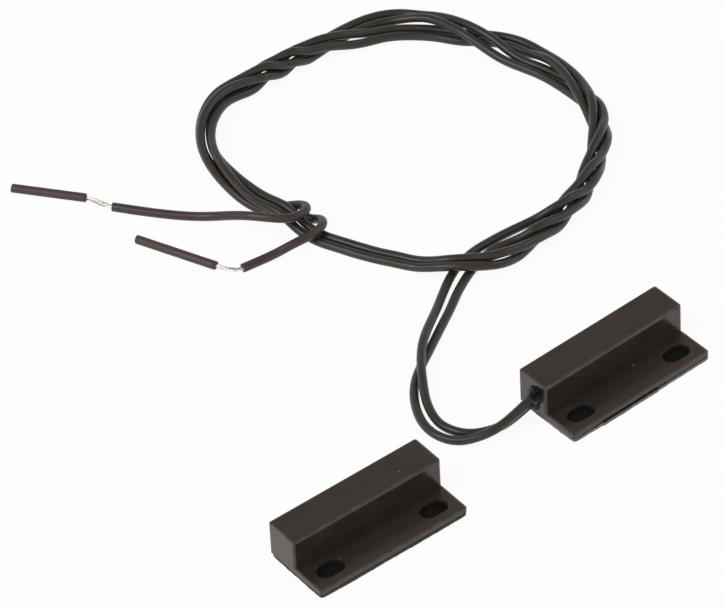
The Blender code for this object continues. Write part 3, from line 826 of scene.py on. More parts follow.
class Paintbox:
    """Every finish of the part, made once and found by its slot."""

    def __init__(self) -> None:
        """Makes the shared effects and then the finishes."""
        Effect.build_all()
        finishes = (
            MouldedPlastic(),
            PadFoam(),
            Glue(),
            Insulation(Slot.WIRE, (0.044, 0.0280, 0.0252), 0.36),
            Insulation(Slot.SLEEVE, (0.055, 0.0345, 0.0312), 0.46),
            Potting(),
            ReedGlass(),
            Metal(Slot.TINNED, (0.80, 0.785, 0.75), (0.70, 0.67, 0.61), 0.32, 700.0, 0.000004),
            Metal(Slot.LEAD, (0.66, 0.60, 0.50), (0.58, 0.53, 0.45), 0.25, 900.0, 0.000005),
            Metal(Slot.SOLDER, (0.62, 0.62, 0.64), (0.48, 0.48, 0.5), 0.35, 1100.0, 0.00002),
            Metal(Slot.MAGNET, (0.55, 0.55, 0.56), (0.42, 0.42, 0.44), 0.3, 500.0, 0.00001),
        )
        self.found = {finish.slot: finish.make() for finish in finishes}

    def dress(self, mesh: Mesh, slot: Slot) -> None:
        """Gives a mesh the finish of a slot and no other."""
        mesh.materials.clear()
        mesh.materials.append(self.found[slot])


@dataclass
class Workshop:
    """Puts finished meshes into the scene as pieces of the part."""

    paints: Paintbox

    def piece(self, name: str, mesh: Mesh, slot: Slot, body: Body, node: str) -> Object:
        """Makes one piece that rides on a body and stands for a CAD node.

        Args:
            name: The piece's name.
            mesh: Its mesh, already in place.
            slot: The record's slot that it is dressed in.
            body: The body that carries it.
            node: The CAD node that it stands for.

        Returns:
            The piece.
        """
        mesh.name = name
        self.paints.dress(mesh, slot)
        made = bpy.data.objects.new(name, mesh)
        bpy.context.scene.collection.objects.link(made)
        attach(made, body.value)
        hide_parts(node)
        LOG.info("%s: %d faces, for %s", name, len(mesh.polygons), node)
        return made


# The two halves


@dataclass(frozen=True)
class BodySizes:
    """Sizes that the two halves share."""

    length: float = 0.0280
    width: float = 0.0124
    block_width: float = 0.0062
    base: float = 0.0007
    top: float = 0.0070
    flange_top: float = 0.0016
    wall: float = 0.0009
    top_edge: float = 0.00042
    rim_edge: float = 0.00028
    end_edge: float = 0.00028
    block_corner: float = 0.0006
    left_corner: float = 0.0003
    right_corner: float = 0.0006
    fine_edge: float = 0.00006
    slot_length: float = 0.0048
    slot_width: float = 0.0030
    slot_spacing: float = 0.0196
    pad_top: float = 0.00066
    pad_inset: float = 0.0001

    def half_length(self) -> float:
        """Half of the body's length."""
        return self.length / 2

    def back(self) -> float:
        """The back face across the body."""
        return self.width / 2

    def block_front(self) -> float:
        """The front face of the tall block."""
        return self.width / 2 - self.block_width


@dataclass(frozen=True)
class Window:
    """The wire exit in the reed half's end wall."""

    y: float = 0.0029
    z: float = 0.0029
    width: float = 0.002738
    height: float = 0.003842

    def outline(self, steps: int) -> np.ndarray:
        """The window's outline across the end wall, upright."""
        flat = obround(self.height, self.width, steps)
        return np.stack([self.y + flat[:, 1], self.z + flat[:, 0]], axis=1)


def values_of(items: object, name: str, width: int = 1, kind: type = np.float32) -> np.ndarray:
    """One property of every item of a mesh.

    Args:
        items: The vertices, edges, faces or values.
        name: The property's name.
        width: How many numbers it has.
        kind: Their type.

    Returns:
        A row for every item.
    """
    flat = np.empty(len(items) * width, kind)
    items.foreach_get(name, flat)
    return flat.reshape(-1, width)


@dataclass
class ContactHalf:
    """One half of the contact: its moulded shell and the foam pad under it.

    The pad's edge stands proud of the shell along its front, and between two places along X it steps out
    once more. Its ripples are sines round the plan: waves, phase and depth.
    """

    prefix: str
    body: Body
    place: tuple[float, float]
    yaw: float
    window: Window | None
    pad_steps: tuple
    pad_proud: float
    pad_pale: float
    pad_ripples: tuple = ((9, 0.7, 0.00002), (23, 0.0, 0.000018), (61, 2.0, 0.000014))
    sizes: BodySizes = BodySizes()

    def build(self, shop: Workshop) -> None:
        """Makes the shell and the pad and sets them in place.

        Args:
            shop: Where pieces are made.
        """
        move = Matrix.Translation((*self.place, 0.0)) @ Matrix.Rotation(math.radians(self.yaw), 4, "Z")
        shell = self.shell()
        shell.transform(move)
        shop.piece(f"{self.prefix}_shell", shell, Slot.PLASTIC, self.body, f"{self.prefix}_housing")
        pad = self.pad()
        pad.transform(move)
        foam = shop.piece(f"{self.prefix}_foam", pad, Slot.FOAM, self.body, f"{self.prefix}_adhesive_pad")

    def section(self, drawn: float, corner: float) -> np.ndarray:
        """The section of block and flange across the body, drawn in towards an end.

        Args:
            drawn: How far it is drawn in, from 0 along the body to 1 at the end face.
            corner: How far the flange's front is drawn in at the end face.

        Returns:
            The outline in Y and Z.
        """
        size = self.sizes
        inward = size.end_edge * drawn
        front = -size.back() + corner * drawn
        block = size.block_front() + size.block_corner * drawn
        back = size.back() - inward
        flange = size.flange_top - inward
        top = size.top - inward
        rim_edge = max(size.rim_edge - inward, 0.0)
        top_edge = max(size.top_edge - inward, 0.0)
        corners = (
            (front, size.base, 0.0), (front, flange, rim_edge), (block, flange, 0.0),
            (block, top, top_edge), (back, top, rim_edge), (back, size.base, 0.0),
        )
        return rounded_outline(corners, 6)

    def bar(self) -> Mesh:
        """The solid bar of block and flange: its section carried along X and drawn in at both ends.

        The ends follow an ellipse, where the drawing in is 1 - cos t and the way to the end face sin t,
        for t up to a quarter turn.

        Returns:
            The mesh.
        """
        size = self.sizes
        turn = np.linspace(0.0, math.pi / 2, 7)
        ends = []
        for side, corner in ((-1.0, size.left_corner), (1.0, size.right_corner)):
            rings = np.stack([self.section(1.0 - math.cos(t), corner) for t in turn])
            place = side * (size.half_length() - corner * (1.0 - np.sin(turn)))
            along = np.broadcast_to(place[:, None, None], (*rings.shape[:2], 1))
            ends.append(np.concatenate([along, rings], axis=2))
        return Skin().loft(np.concatenate([ends[0][::-1], ends[1]])).mesh("shell")

    def shell(self) -> Mesh:
        """The shell: the bar hollowed from below, slotted, pierced for the wires, and rounded at its rims.

        Returns:
            The mesh, with the faces of its rounded edges marked.
        """
        size = self.sizes
        half = size.half_length()
        front, back = size.block_front(), size.back()
        inner = half - size.wall
        low, high = front + size.wall, back - size.wall
        plan = np.array([(-inner, low), (-inner, high), (inner, high), (inner, low)])
        hollow = Skin().prism(plan, -size.top, size.top - size.wall, 2)
        slots = Skin()
        for side in (1.0, -1.0):
            middle = np.array([side * size.slot_spacing / 2, (front - back) / 2])
            slots.prism(obround(size.slot_length, size.slot_width, 20) + middle, -size.top, size.top, 2)
        mesh = cut_out(cut_out(self.bar(), hollow), slots)
        if self.window is not None:
            hole = Skin().prism(self.window.outline(16), -half - size.wall, -half + 2 * size.wall, 0)
            mesh = cut_out(mesh, hole)
        tidy_mesh(mesh, join_flat=True)
        self.weigh_edges(mesh)
        mesh = applied(
            mesh, "BEVEL", width=size.fine_edge, segments=2, limit_method="WEIGHT", use_clamp_overlap=False
        )
        self.mark_edges(mesh)
        mesh.shade_smooth()
        mesh.set_sharp_from_angle(angle=CRISP_ANGLE)
        return applied(mesh, "WEIGHTED_NORMAL", mode="FACE_AREA", weight=50, keep_sharp=True)

    def weigh_edges(self, mesh: Mesh) -> None:
        """Weighs the rims of the slots and of the wire exit for a fine rounding, and no other edge.

        Args:
            mesh: The shell before its rims are rounded.
        """
        size = self.sizes
        mesh.set_sharp_from_angle(angle=CRISP_ANGLE)
        crisp = values_of(mesh.attributes["sharp_edge"].data, "value", kind=bool)[:, 0]
        ends = values_of(mesh.edges, "vertices", 2, np.int32)
        pair = values_of(mesh.vertices, "co", 3)[ends]
        low = pair.min(axis=1)
        high = pair.max(axis=1)
        close = size.fine_edge
        rim = (low[:, 2] > size.flange_top - close) & (high[:, 2] < size.flange_top + close)
        rim = rim & (high[:, 1] < size.block_front() - close)
        rim = rim & (low[:, 1] > size.slot_width / 2 - size.back())
        if self.window is not None:
            window = self.window
            inside = high[:, 0] < close - size.half_length()
            for axis, middle, reach in ((1, window.y, window.width), (2, window.z, window.height)):
                inside = inside & (low[:, axis] > middle - reach / 2 - close)
                inside = inside & (high[:, axis] < middle + reach / 2 + close)
            rim = rim | inside
        weight = (rim & crisp).astype(np.float32)
        mesh.attributes.new("bevel_weight_edge", "FLOAT", "EDGE").data.foreach_set("value", weight)

    def mark_edges(self, mesh: Mesh) -> None:
        """Stores 1 on the faces of rounded edges and 0 elsewhere, in the attribute edge.

        A face counts when its normal lies along no axis, it isn't upright, and it is neither at the base
        nor on the rim of a slot.

        Args:
            mesh: The finished shell.
        """
        size = self.sizes
        normal = np.abs(values_of(mesh.polygons, "normal", 3))
        x, y, z = values_of(mesh.polygons, "center", 3).T
        tilted = (normal.max(axis=1) < 0.995) & (normal[:, 2] > 0.02)
        outside = z > size.base + 2 * size.fine_edge
        across = (y > size.wall - size.back()) & (y < size.block_front() - size.fine_edge)
        along = np.abs(x) < size.half_length() - size.wall
        slot_rim = across & along & (z < size.flange_top + size.fine_edge)
        marked = (tilted & outside & ~slot_rim).astype(np.float32)
        mesh.attributes.new("edge", "FLOAT", "FACE").data.foreach_set("value", marked)

    def pad(self) -> Mesh:
        """The foam pad: rings of a rounded plan from the middle of its underside to the middle of its top.

        The plan is a superellipse, full enough to be nearly square. The rows give, from below, the share of
        the plan, the height, how far the edge swells out, and how pale it is.

        Returns:
            The mesh, with how torn and pale its cut side is in the first part of the attribute lay.
        """
        size = self.sizes
        half = size.half_length() - size.pad_inset
        back = size.back() - size.pad_inset
        turn = turn_of(720)
        fullness = 30.0
        reach = (np.abs(np.cos(turn)) ** fullness + np.abs(np.sin(turn)) ** fullness) ** (-1.0 / fullness)
        x = half * reach * np.cos(turn)
        y = back * reach * np.sin(turn)
        outward = np.stack([x / half, y / back], axis=1)
        outward = unit(outward * np.abs(outward) ** 5)
        ripple = sum(deep * np.sin(waves * turn + phase) for waves, phase, deep in self.pad_ripples)
        low, high, out = self.pad_steps
        blend = 0.0003
        front = ease(-0.9 * back, -0.97 * back, y)
        stepped = ease(low - blend, low, x) * (1.0 - ease(high, high + blend, x))
        plan = np.stack([x, y], axis=1) + outward * ripple[:, None]
        plan[:, 1] = plan[:, 1] - front * (self.pad_proud + out * stepped)
        top = size.pad_top
        edge = 0.00003
        rows = np.array([
            (0.0, 0.0, 0.0, 0.0), (0.6, 0.0, 0.0, 0.0), (0.99, 0.0, 0.0, 0.0), (1.0, edge, 0.0, 0.3),
            (1.0, 0.00016, 0.00002, 1.0), (1.0, 0.00032, 0.000035, 1.0), (1.0, 0.0005, 0.00002, 1.0),
            (1.0, top - edge, 0.0, 0.3), (0.99, top, 0.0, 0.0), (0.6, top, 0.0, 0.0), (0.0, top, 0.0, 0.0),
        ])
        share, height, swell, pale = rows.T[:, :, None]
        grid = np.empty((len(rows), len(turn), 3))
        grid[:, :, :2] = plan * share[:, :, None] + outward * swell[:, :, None]
        grid[:, :, 2] = height
        lay = np.zeros_like(grid)
        lay[:, :, 0] = self.pad_pale * pale
        return Skin().add(grid, lay).mesh("pad", 50.0)


@dataclass
class ExitGlue:
    """The glossy glue that fills the wire exit, climbs the wires and is smeared up the end wall.

    The edge is given by degrees round the middle and its reach in millimetres. A lump has a place across
    and up, a width and a height. The face lies a hair outside the end wall.
    """

    window: Window
    wires: tuple
    face: float = -0.01401
    inner: float = -0.0130
    middle: tuple = (0.0025, 0.0038)
    edge: tuple = (
        (-58, 1.53), (-31, 1.80), (2, 2.25), (37, 2.80), (55, 2.10), (99, 1.25), (150, 1.36), (182, 2.15),
        (204, 2.3), (230, 2.0), (262, 1.61), (302, 1.53), (329, 1.80), (362, 2.25),
    )
    lumps: tuple = ((0.0018, 0.0049, 0.0008, 0.00036), (0.0024, 0.0058, 0.0005, 0.00012))
    bulge: float = 0.00034
    climb: float = 0.00050
    reach: float = 0.00032
    squareness: float = 2.4

    def build(self, shop: Workshop) -> None:
        """Makes the glue: rings from the middle of its inner end, over the wall, to the top of a dome.

        The dome falls as the square root of 1 - v4 from the middle to the edge, the lumps stand on it as
        exp(-d2), and round each wire it rises as exp(-gap / reach).

        Args:
            shop: Where pieces are made.
        """
        turn = turn_of(120)
        ragged = 1.0 + 0.012 * np.sin(9 * turn) + 0.01 * np.sin(14 * turn + 1.0)
        far = along_keys(self.edge, np.degrees(turn)) * MM * ragged
        rows = np.concatenate([[1.0, 0.992, 0.975, 0.95], np.linspace(0.91, 0.0, 40)])[:, None]
        y = self.middle[0] - rows * far * np.sin(turn)
        z = self.middle[1] + rows * far * np.cos(turn)
        height = self.bulge * np.sqrt(1.0 - rows**4)
        fade = 1.0 - rows**6
        for lump_y, lump_z, wide, tall in self.lumps:
            height = height + tall * fade * np.exp(-(((y - lump_y) / wide) ** 2 + ((z - lump_z) / wide) ** 2))
        for wire_y, wire_z, radius in self.wires:
            gap = np.maximum(np.hypot(y - wire_y, z - wire_z) - radius, 0.0)
            height = height + self.climb * fade * np.exp(-gap / self.reach)
        dome = np.stack([self.face - height, y, z], axis=2)
        wide = self.window.width / 2
        tall = (self.window.height - self.window.width) / 2
        square = np.tanh(self.squareness * np.cos(turn)) / math.tanh(self.squareness)
        rim_z = wide * np.cos(turn) + tall * square
        share, place = np.array([
            (0.0, self.inner), (0.7, self.inner - 0.0001), (0.93, self.inner - 0.0002), (0.96, self.face),
        ]).T[:, :, None]
        plug_y = self.window.y - share * wide * np.sin(turn)
        plug = np.stack(np.broadcast_arrays(place, plug_y, self.window.z + share * rim_z), axis=2)
        mesh = Skin().add(np.concatenate([plug, dome])).mesh("glue", 60.0)
        shop.piece("exit_glue", mesh, Slot.GLUE, Body.SENSOR, "wire_exit_sealant")


# The wires


@dataclass(frozen=True)
class WireSizes:
    """Sizes that both wires share."""

    diameter: float = 0.00145
    strand: float = 0.00065
    pitch: float = 0.00192
    rest: float = 0.000755
    exit_x: float = -0.0140
    exit_y: float = 0.0029
    exit_z: float = 0.0029
    exit_turn: float = 21.0
    begin: float = -0.0148
    buried: float = -0.0142
    step: float = 0.0006

    def exit_place(self, side: int) -> tuple[float, float]:
        """Where a wire crosses the end wall.

        Args:
            side: 1 for the upper wire, -1 for the lower.

        Returns:
            Its place across and up.
        """
        turn = math.radians(self.exit_turn)
        offset = side * self.pitch / 2
        return self.exit_y - offset * math.sin(turn), self.exit_z + offset * math.cos(turn)


@dataclass(frozen=True)
class Loop:
    """The hand-wound loop, as a rope with two turns of both wires in it.

    The waves are counts round the loop, heights and phases. The shift goes by degrees, in millimetres.
    """

    x: float = 0.0253
    y: float = 0.0592
    radius: float = 0.0289
    waves: tuple = ((2, 0.00172, -65.5), (3, 0.00094, 8.4), (4, 0.00114, -40.9))
    shift: tuple = (
        (-106, 1.45), (-97, 1.1), (-88, 0.8), (-79, 0.65), (-65, 0.35), (-49, -0.1), (-40, 0.35),
        (-33, 0.8), (-17, 1.4), (0, 1.65), (15, 1.75), (31, 0.9), (45, 1.8), (57, 2.2), (71, 1.3),
        (85, 0.5), (95, 0.15), (106, 0.2), (116, 1.1), (125, 0.9), (135, 0.2), (145, -0.5), (160, -0.9),
        (175, -0.75), (186, -0.6), (197, -0.8), (205, -1.6), (217, -2.5), (227, -2.65), (232, -2.15),
        (237, -1.15), (242, 0.0), (247, 0.85), (254, 1.45),
    )
    pitch: float = 0.00171
    spacing: float = 4.0
    sizes: WireSizes = WireSizes()

    def points(self, lay: tuple) -> np.ndarray:
        """Points of one wire round the loop.

        The loop's middle line is a circle plus three cosine waves, moved by the shift. The wire keeps its
        place outward from that line and up from the table, smoothly through its keys, so that the strands
        lie side by side where the loop is flat and wind round one another where it is a rope.

        Args:
            lay: The wire's keys: degrees round the loop, then pitches outward and pitches up.

        Returns:
            The points.
        """
        size = self.sizes
        keys = np.array(lay, dtype=float)
        run = np.arange(keys[0, 0], keys[-1, 0] + 0.1, self.spacing)
        waves = np.array(self.waves)
        swell = waves[:, 1] * np.cos(np.radians(waves[:, 0] * (run[:, None] - waves[:, 2])))
        begin = self.shift[0][0]
        moved = MM * along_keys(self.shift, (run - begin) % 360.0 + begin)
        reach = self.radius + swell.sum(axis=1) + moved + self.pitch * along_keys(keys[:, (0, 1)], run)
        height = size.rest + self.pitch * np.maximum(along_keys(keys[:, (0, 2)], run), 0.0)
        turn = np.radians(run)
        x = size.exit_x + self.x + reach * np.cos(turn)
        y = size.exit_y + self.y + reach * np.sin(turn)
        return np.stack([x, y, height], axis=1)


@dataclass
class Wire:
    """One insulated wire with its bared strands and the cut sleeve left on them.

    Routes are in millimetres along and across from the wire exit, with the lift over the table in wire
    pitches. The sleeve has the place of its start, its heading in degrees and its length.
    """

    letter: str
    side: int
    phase: float
    tail: tuple
    lay: tuple
    end: tuple
    bared: tuple
    sleeve: tuple
    sleeve_body: Body
    splay: float
    loop: Loop = Loop()
    sizes: WireSizes = WireSizes()

    def start(self) -> tuple[float, float]:
        """Where the wire crosses the end wall, across and up."""
        return self.sizes.exit_place(self.side)

    def route(self, table: tuple) -> np.ndarray:
        """Points of a route in metres.

        Args:
            table: The route's rows.

        Returns:
            The points.
        """
        size = self.sizes
        x, y, lift = np.array([(*row, 0.0)[:3] for row in table], dtype=float).T
        return np.stack([size.exit_x + x * MM, size.exit_y + y * MM, size.rest + lift * size.pitch], axis=1)

    def centreline(self) -> np.ndarray:
        """The wire's middle line from inside the glue to its cut end.

        Returns:
            The points.
        """
        size = self.sizes
        start = self.start()
        loop = self.loop.points(self.lay)
        through = np.vstack([[[size.begin, *start]], self.route(self.tail), loop, self.route(self.end)])
        return np.vstack([[[size.buried, *start]], natural_curve(through, size.step, size.rest)])

    def build(self, shop: Workshop) -> None:
        """Args:
            shop: Where pieces are made.
        """
        line = self.centreline()
        name = f"wire_{self.letter}"
        wire = shop.piece(f"{name}_insulation", self.insulation(line), Slot.WIRE, Body.SENSOR, name)
        bared = self.strands(line)
        strands = shop.piece(f"{name}_bared", bared, Slot.TINNED, Body.SENSOR, f"{name}_strands")
        cover = self.sleeve_mesh()
        sleeve = shop.piece(f"{name}_sleeve", cover, Slot.SLEEVE, self.sleeve_body, f"{name}_end_sleeve")

    def insulation(self, line: np.ndarray) -> Mesh:
        """The insulation: a ring carried along the line, closed in the glue and cut at the far end.

        The radius swells by two slow sines along the wire, and by a flattening that turns slowly round it.
        At the cut the rings run over a rounded edge, across the ragged face, into the bore and to its
        bottom: the rows give the way past the end, the share of the radius and the share of raggedness.

        Args:
            line: The wire's middle line.

        Returns:
            The mesh.
        """
        fullness = 1.012
        radius = fullness * self.sizes.diameter / 2
        turn = turn_of(24)
        run = path_length(line)
        swell = 1.0 + 0.006 * np.sin(run / 0.0023 + self.phase) + 0.006 * np.sin(run / 0.0011)
        flatten = 0.012 * np.cos(2 * turn + run[:, None] / 0.009)
        cut = np.array([
            (0.00003, 0.985, 1), (0.00006, 0.93, 1), (0.00007, 0.72, 1), (0.00004, 0.60, 1),
            (-0.0003, 0.58, 0), (-0.0009, 0.57, 0), (-0.0009, 0.0, 0),
        ])
        whole = np.tile((0.0, 1.0, 0.0), (len(line), 1))
        shift, share, torn = np.vstack([np.zeros((1, 3)), whole, cut]).T[:, :, None]
        index = np.concatenate([[0], np.arange(len(line)), np.full(len(cut), len(line) - 1)])
        along = shift + torn * (0.00004 * np.cos(turn - 0.8) + 0.00002 * np.cos(3 * turn + self.phase))
        ring = radius * (swell[:, None] + flatten)[index] * share
        ahead, side, up = (part[index] for part in path_frame(line))
        grid = rings_round(line[index], side, up, ring, turn) + ahead[:, None] * along[:, :, None]
        lay = wire_lay(turn, LAY_AT_CUT - run[-1] + run[index][:, None] + along)
        return Skin().add(grid, lay).mesh("insulation", 50.0)

    def sleeve_line(self) -> tuple[np.ndarray, np.ndarray, float]:
        """The line of the sleeve.

        Returns:
            Its start, direction and length.
        """
        x, y, turn, length = self.sleeve
        heading = math.radians(turn)
        return self.route(((x, y),))[0], np.array([math.cos(heading), math.sin(heading), 0.0]), length * MM

    def strands(self, line: np.ndarray) -> Mesh:
        """The bared strands past the wire's line: one straight strand and some wound round it on a helix.

        The helix opens by a bump in its middle, as far as this end's strands are splayed. One strand with
        six round it is six strand radii across.

        Args:
            line: The wire's middle line.

        Returns:
            The mesh.
        """
        start, heading, length = self.sleeve_line()
        tip = line[-1]
        ahead = unit(tip - line[-3])
        gather = [tip - ahead * 0.0008, tip + ahead * 0.0001, *self.route(self.bared)]
        gather += [start + heading * (length * part) for part in (0.05, 0.3, 0.7)]
        middle = natural_curve(np.array(gather), 0.00012, self.sizes.rest)
        run = path_length(middle)
        _, side, up = path_frame(middle)
        wound = 6
        lead = 0.0075
        radius = self.sizes.strand / 6
        free = ease(0.0006, 0.0020, run) * (1.0 - ease(0.0042, 0.0056, run))
        number = np.arange(wound + 1)[:, None]
        phase = math.tau * (number / wound + run / lead) + 0.5 * np.sin(number * 2.3) * free
        spread = np.minimum(number, 1) * 2.0 * radius
        spread = spread * (1.0 + self.splay * free * (0.6 + 0.4 * np.sin(number * 1.7)))
        index = np.concatenate([[0], np.arange(len(middle)), [len(middle) - 1] * 2])
        ring = radius * np.concatenate([[0.0], np.ones(len(middle)), [0.7, 0.0]])[:, None]
        skin = Skin()
        for away, turned in zip(spread, phase):
            one = middle + side * (away * np.cos(turned))[:, None] + up * (away * np.sin(turned))[:, None]
            skin.add(rings_round(one[index], side[index], up[index], ring, turn_of(10)))
        return skin.mesh("strands", 60.0)

    def sleeve_mesh(self) -> Mesh:
        """The cut sleeve: a closed outline of its wall carried round its axis, with slanted, ragged cuts.

        Returns:
            The mesh.
        """
        start, heading, length = self.sleeve_line()
        radius = self.sizes.diameter / 2
        clearance = 0.0003
        bore = (self.sizes.strand + clearance) / 2
        turn = turn_of(28)
        inner = np.linspace(0.06, 0.94, 24)
        along = np.concatenate([[0.0, 0.004], inner, [0.996, 1.0, 1.0, 0.985, 0.5, 0.015, 0.0]])[:, None]
        wall = np.concatenate([[0.93, 1.0], np.ones(24), [1.0, 0.93], np.zeros(5)])[:, None]
        bump = 1.0 + 0.006 * np.sin(along * 23.0) + 0.005 * np.sin(along * 51.0 + 1.0)
        shape = 0.014 * np.cos(2 * turn + 0.4) + 0.008 * np.cos(5 * turn)
        size = np.where(wall > 0.5, radius * wall * (bump + shape), bore)
        slant = 0.00010 * np.cos(turn + 0.5 + self.phase) + 0.00004 * np.cos(4 * turn)
        cut = np.where(along > 0.98, 1.0, 0.0) - np.where(along < 0.02, 1.0, 0.0)
        place = along * length + cut * (0.6 * slant - 0.00012)
        side = np.array([heading[1], -heading[0], 0.0])
        grid = rings_round(start[None], side[None], UP[None], size, turn) + heading * place[:, :, None]
        return Skin().add(grid, wire_lay(turn, LAY_AT_SLEEVE + place), loop=True).mesh("sleeve", 50.0)


@dataclass
class InnerWires:
    """The runs of wire inside the reed half, held in its potting."""

    wires: WireSizes = WireSizes()
    begin: float = -0.0127
    joint: float = 0.0106
    lead: float = 0.0093
    hair: float = 0.0001

    def build(self, shop: Workshop) -> None:
        """Makes the stub of the one wire, the run of the other, and its bared end at the far joint.

        Args:
            shop: Where pieces are made.
        """
        near = self.wires.exit_place(1)
        far = self.wires.exit_place(-1)
        radius = self.wires.diameter / 2
        stop = self.lead - radius
        middle = self.joint - 0.0006
        under = near[1] - 0.0006
        stub = ((self.begin, *near), (-self.joint - self.hair, *near))
        run = ((self.begin, *far), (stop, *far))
        bare = (
            (stop + self.hair, *far), (middle - 0.00065, *far),
            (middle - 0.0002, (near[0] + far[0]) / 2, (far[1] + under) / 2), (middle, near[0], under),
        )
        for name, points, size, slot, node in (
            ("inner_run_near", stub, radius, Slot.WIRE, "inner_wire_near"),
            ("inner_run_far", run, radius, Slot.WIRE, "inner_wire_far"),
            ("inner_bared_far", bare, self.wires.strand / 2, Slot.TINNED, "inner_strands_far"),
        ):
            shop.piece(name, self.tube(np.array(points), size), slot, Body.SENSOR, node)

    @staticmethod
    def tube(points: np.ndarray, radius: float) -> Mesh:
        """A ring carried along a smooth line through the points, closed at both ends.

        Args:
            points: The points.
            radius: The ring's radius.

        Returns:
            The mesh.
        """
        line = natural_curve(points, 0.0004, 0.0)
        turn = turn_of(16)
        index = np.concatenate([[0], np.arange(len(line)), [len(line) - 1]])
        ring = radius * np.concatenate([[0.0], np.ones(len(line)), [0.0]])[:, None]
        _, side, up = path_frame(line)
        grid = rings_round(line[index], side[index], up[index], ring, turn)
        return Skin().add(grid, wire_lay(turn, path_length(line)[index][:, None])).mesh("tube", 50.0)


@dataclass
class InnerParts:
    """The hard pieces inside, which stay as the CAD made them and only get their finish."""

    dressed: tuple = (
        ("sensor_potting", Slot.POTTING), ("magnet_potting", Slot.POTTING), ("reed_glass_tube", Slot.GLASS),
        ("reed_lead_near", Slot.LEAD), ("reed_lead_far", Slot.LEAD), ("reed_blade_near", Slot.LEAD),
        ("reed_blade_far", Slot.LEAD), ("solder_joint_near", Slot.SOLDER),
        ("solder_joint_far", Slot.SOLDER), ("bar_magnet", Slot.MAGNET),
    )

    def dress(self, frame: dict, paints: Paintbox) -> None:
        """Gives each node the finish of its slot.

        Args:
            frame: The loaded frame.
            paints: The finishes.
        """
        for name, slot in self.dressed:
            paints.dress(frame["nodes"][name].data, slot)
            LOG.info("%s: CAD node, %s", name, slot.value)


# The studio


@dataclass(frozen=True)
class Lamp:
    """One soft lamp that points at the part."""

    name: str
    place: tuple
    size: float
    power: float


def stand(data: ID, axes: tuple, place: np.ndarray) -> Object:
    """Puts a camera or a lamp into the scene, named as its data is.

    Args:
        data: The camera or the lamp.
        axes: Its directions to the right, up and back.
        place: Its place.

    Returns:
        Its object.
    """
    holder = bpy.data.objects.new(data.name, data)
    matrix = np.eye(4)
    matrix[:3] = np.stack([*axes, place], axis=1)
    holder.matrix_world = Matrix(matrix.tolist())
    bpy.context.scene.collection.objects.link(holder)
    return holder


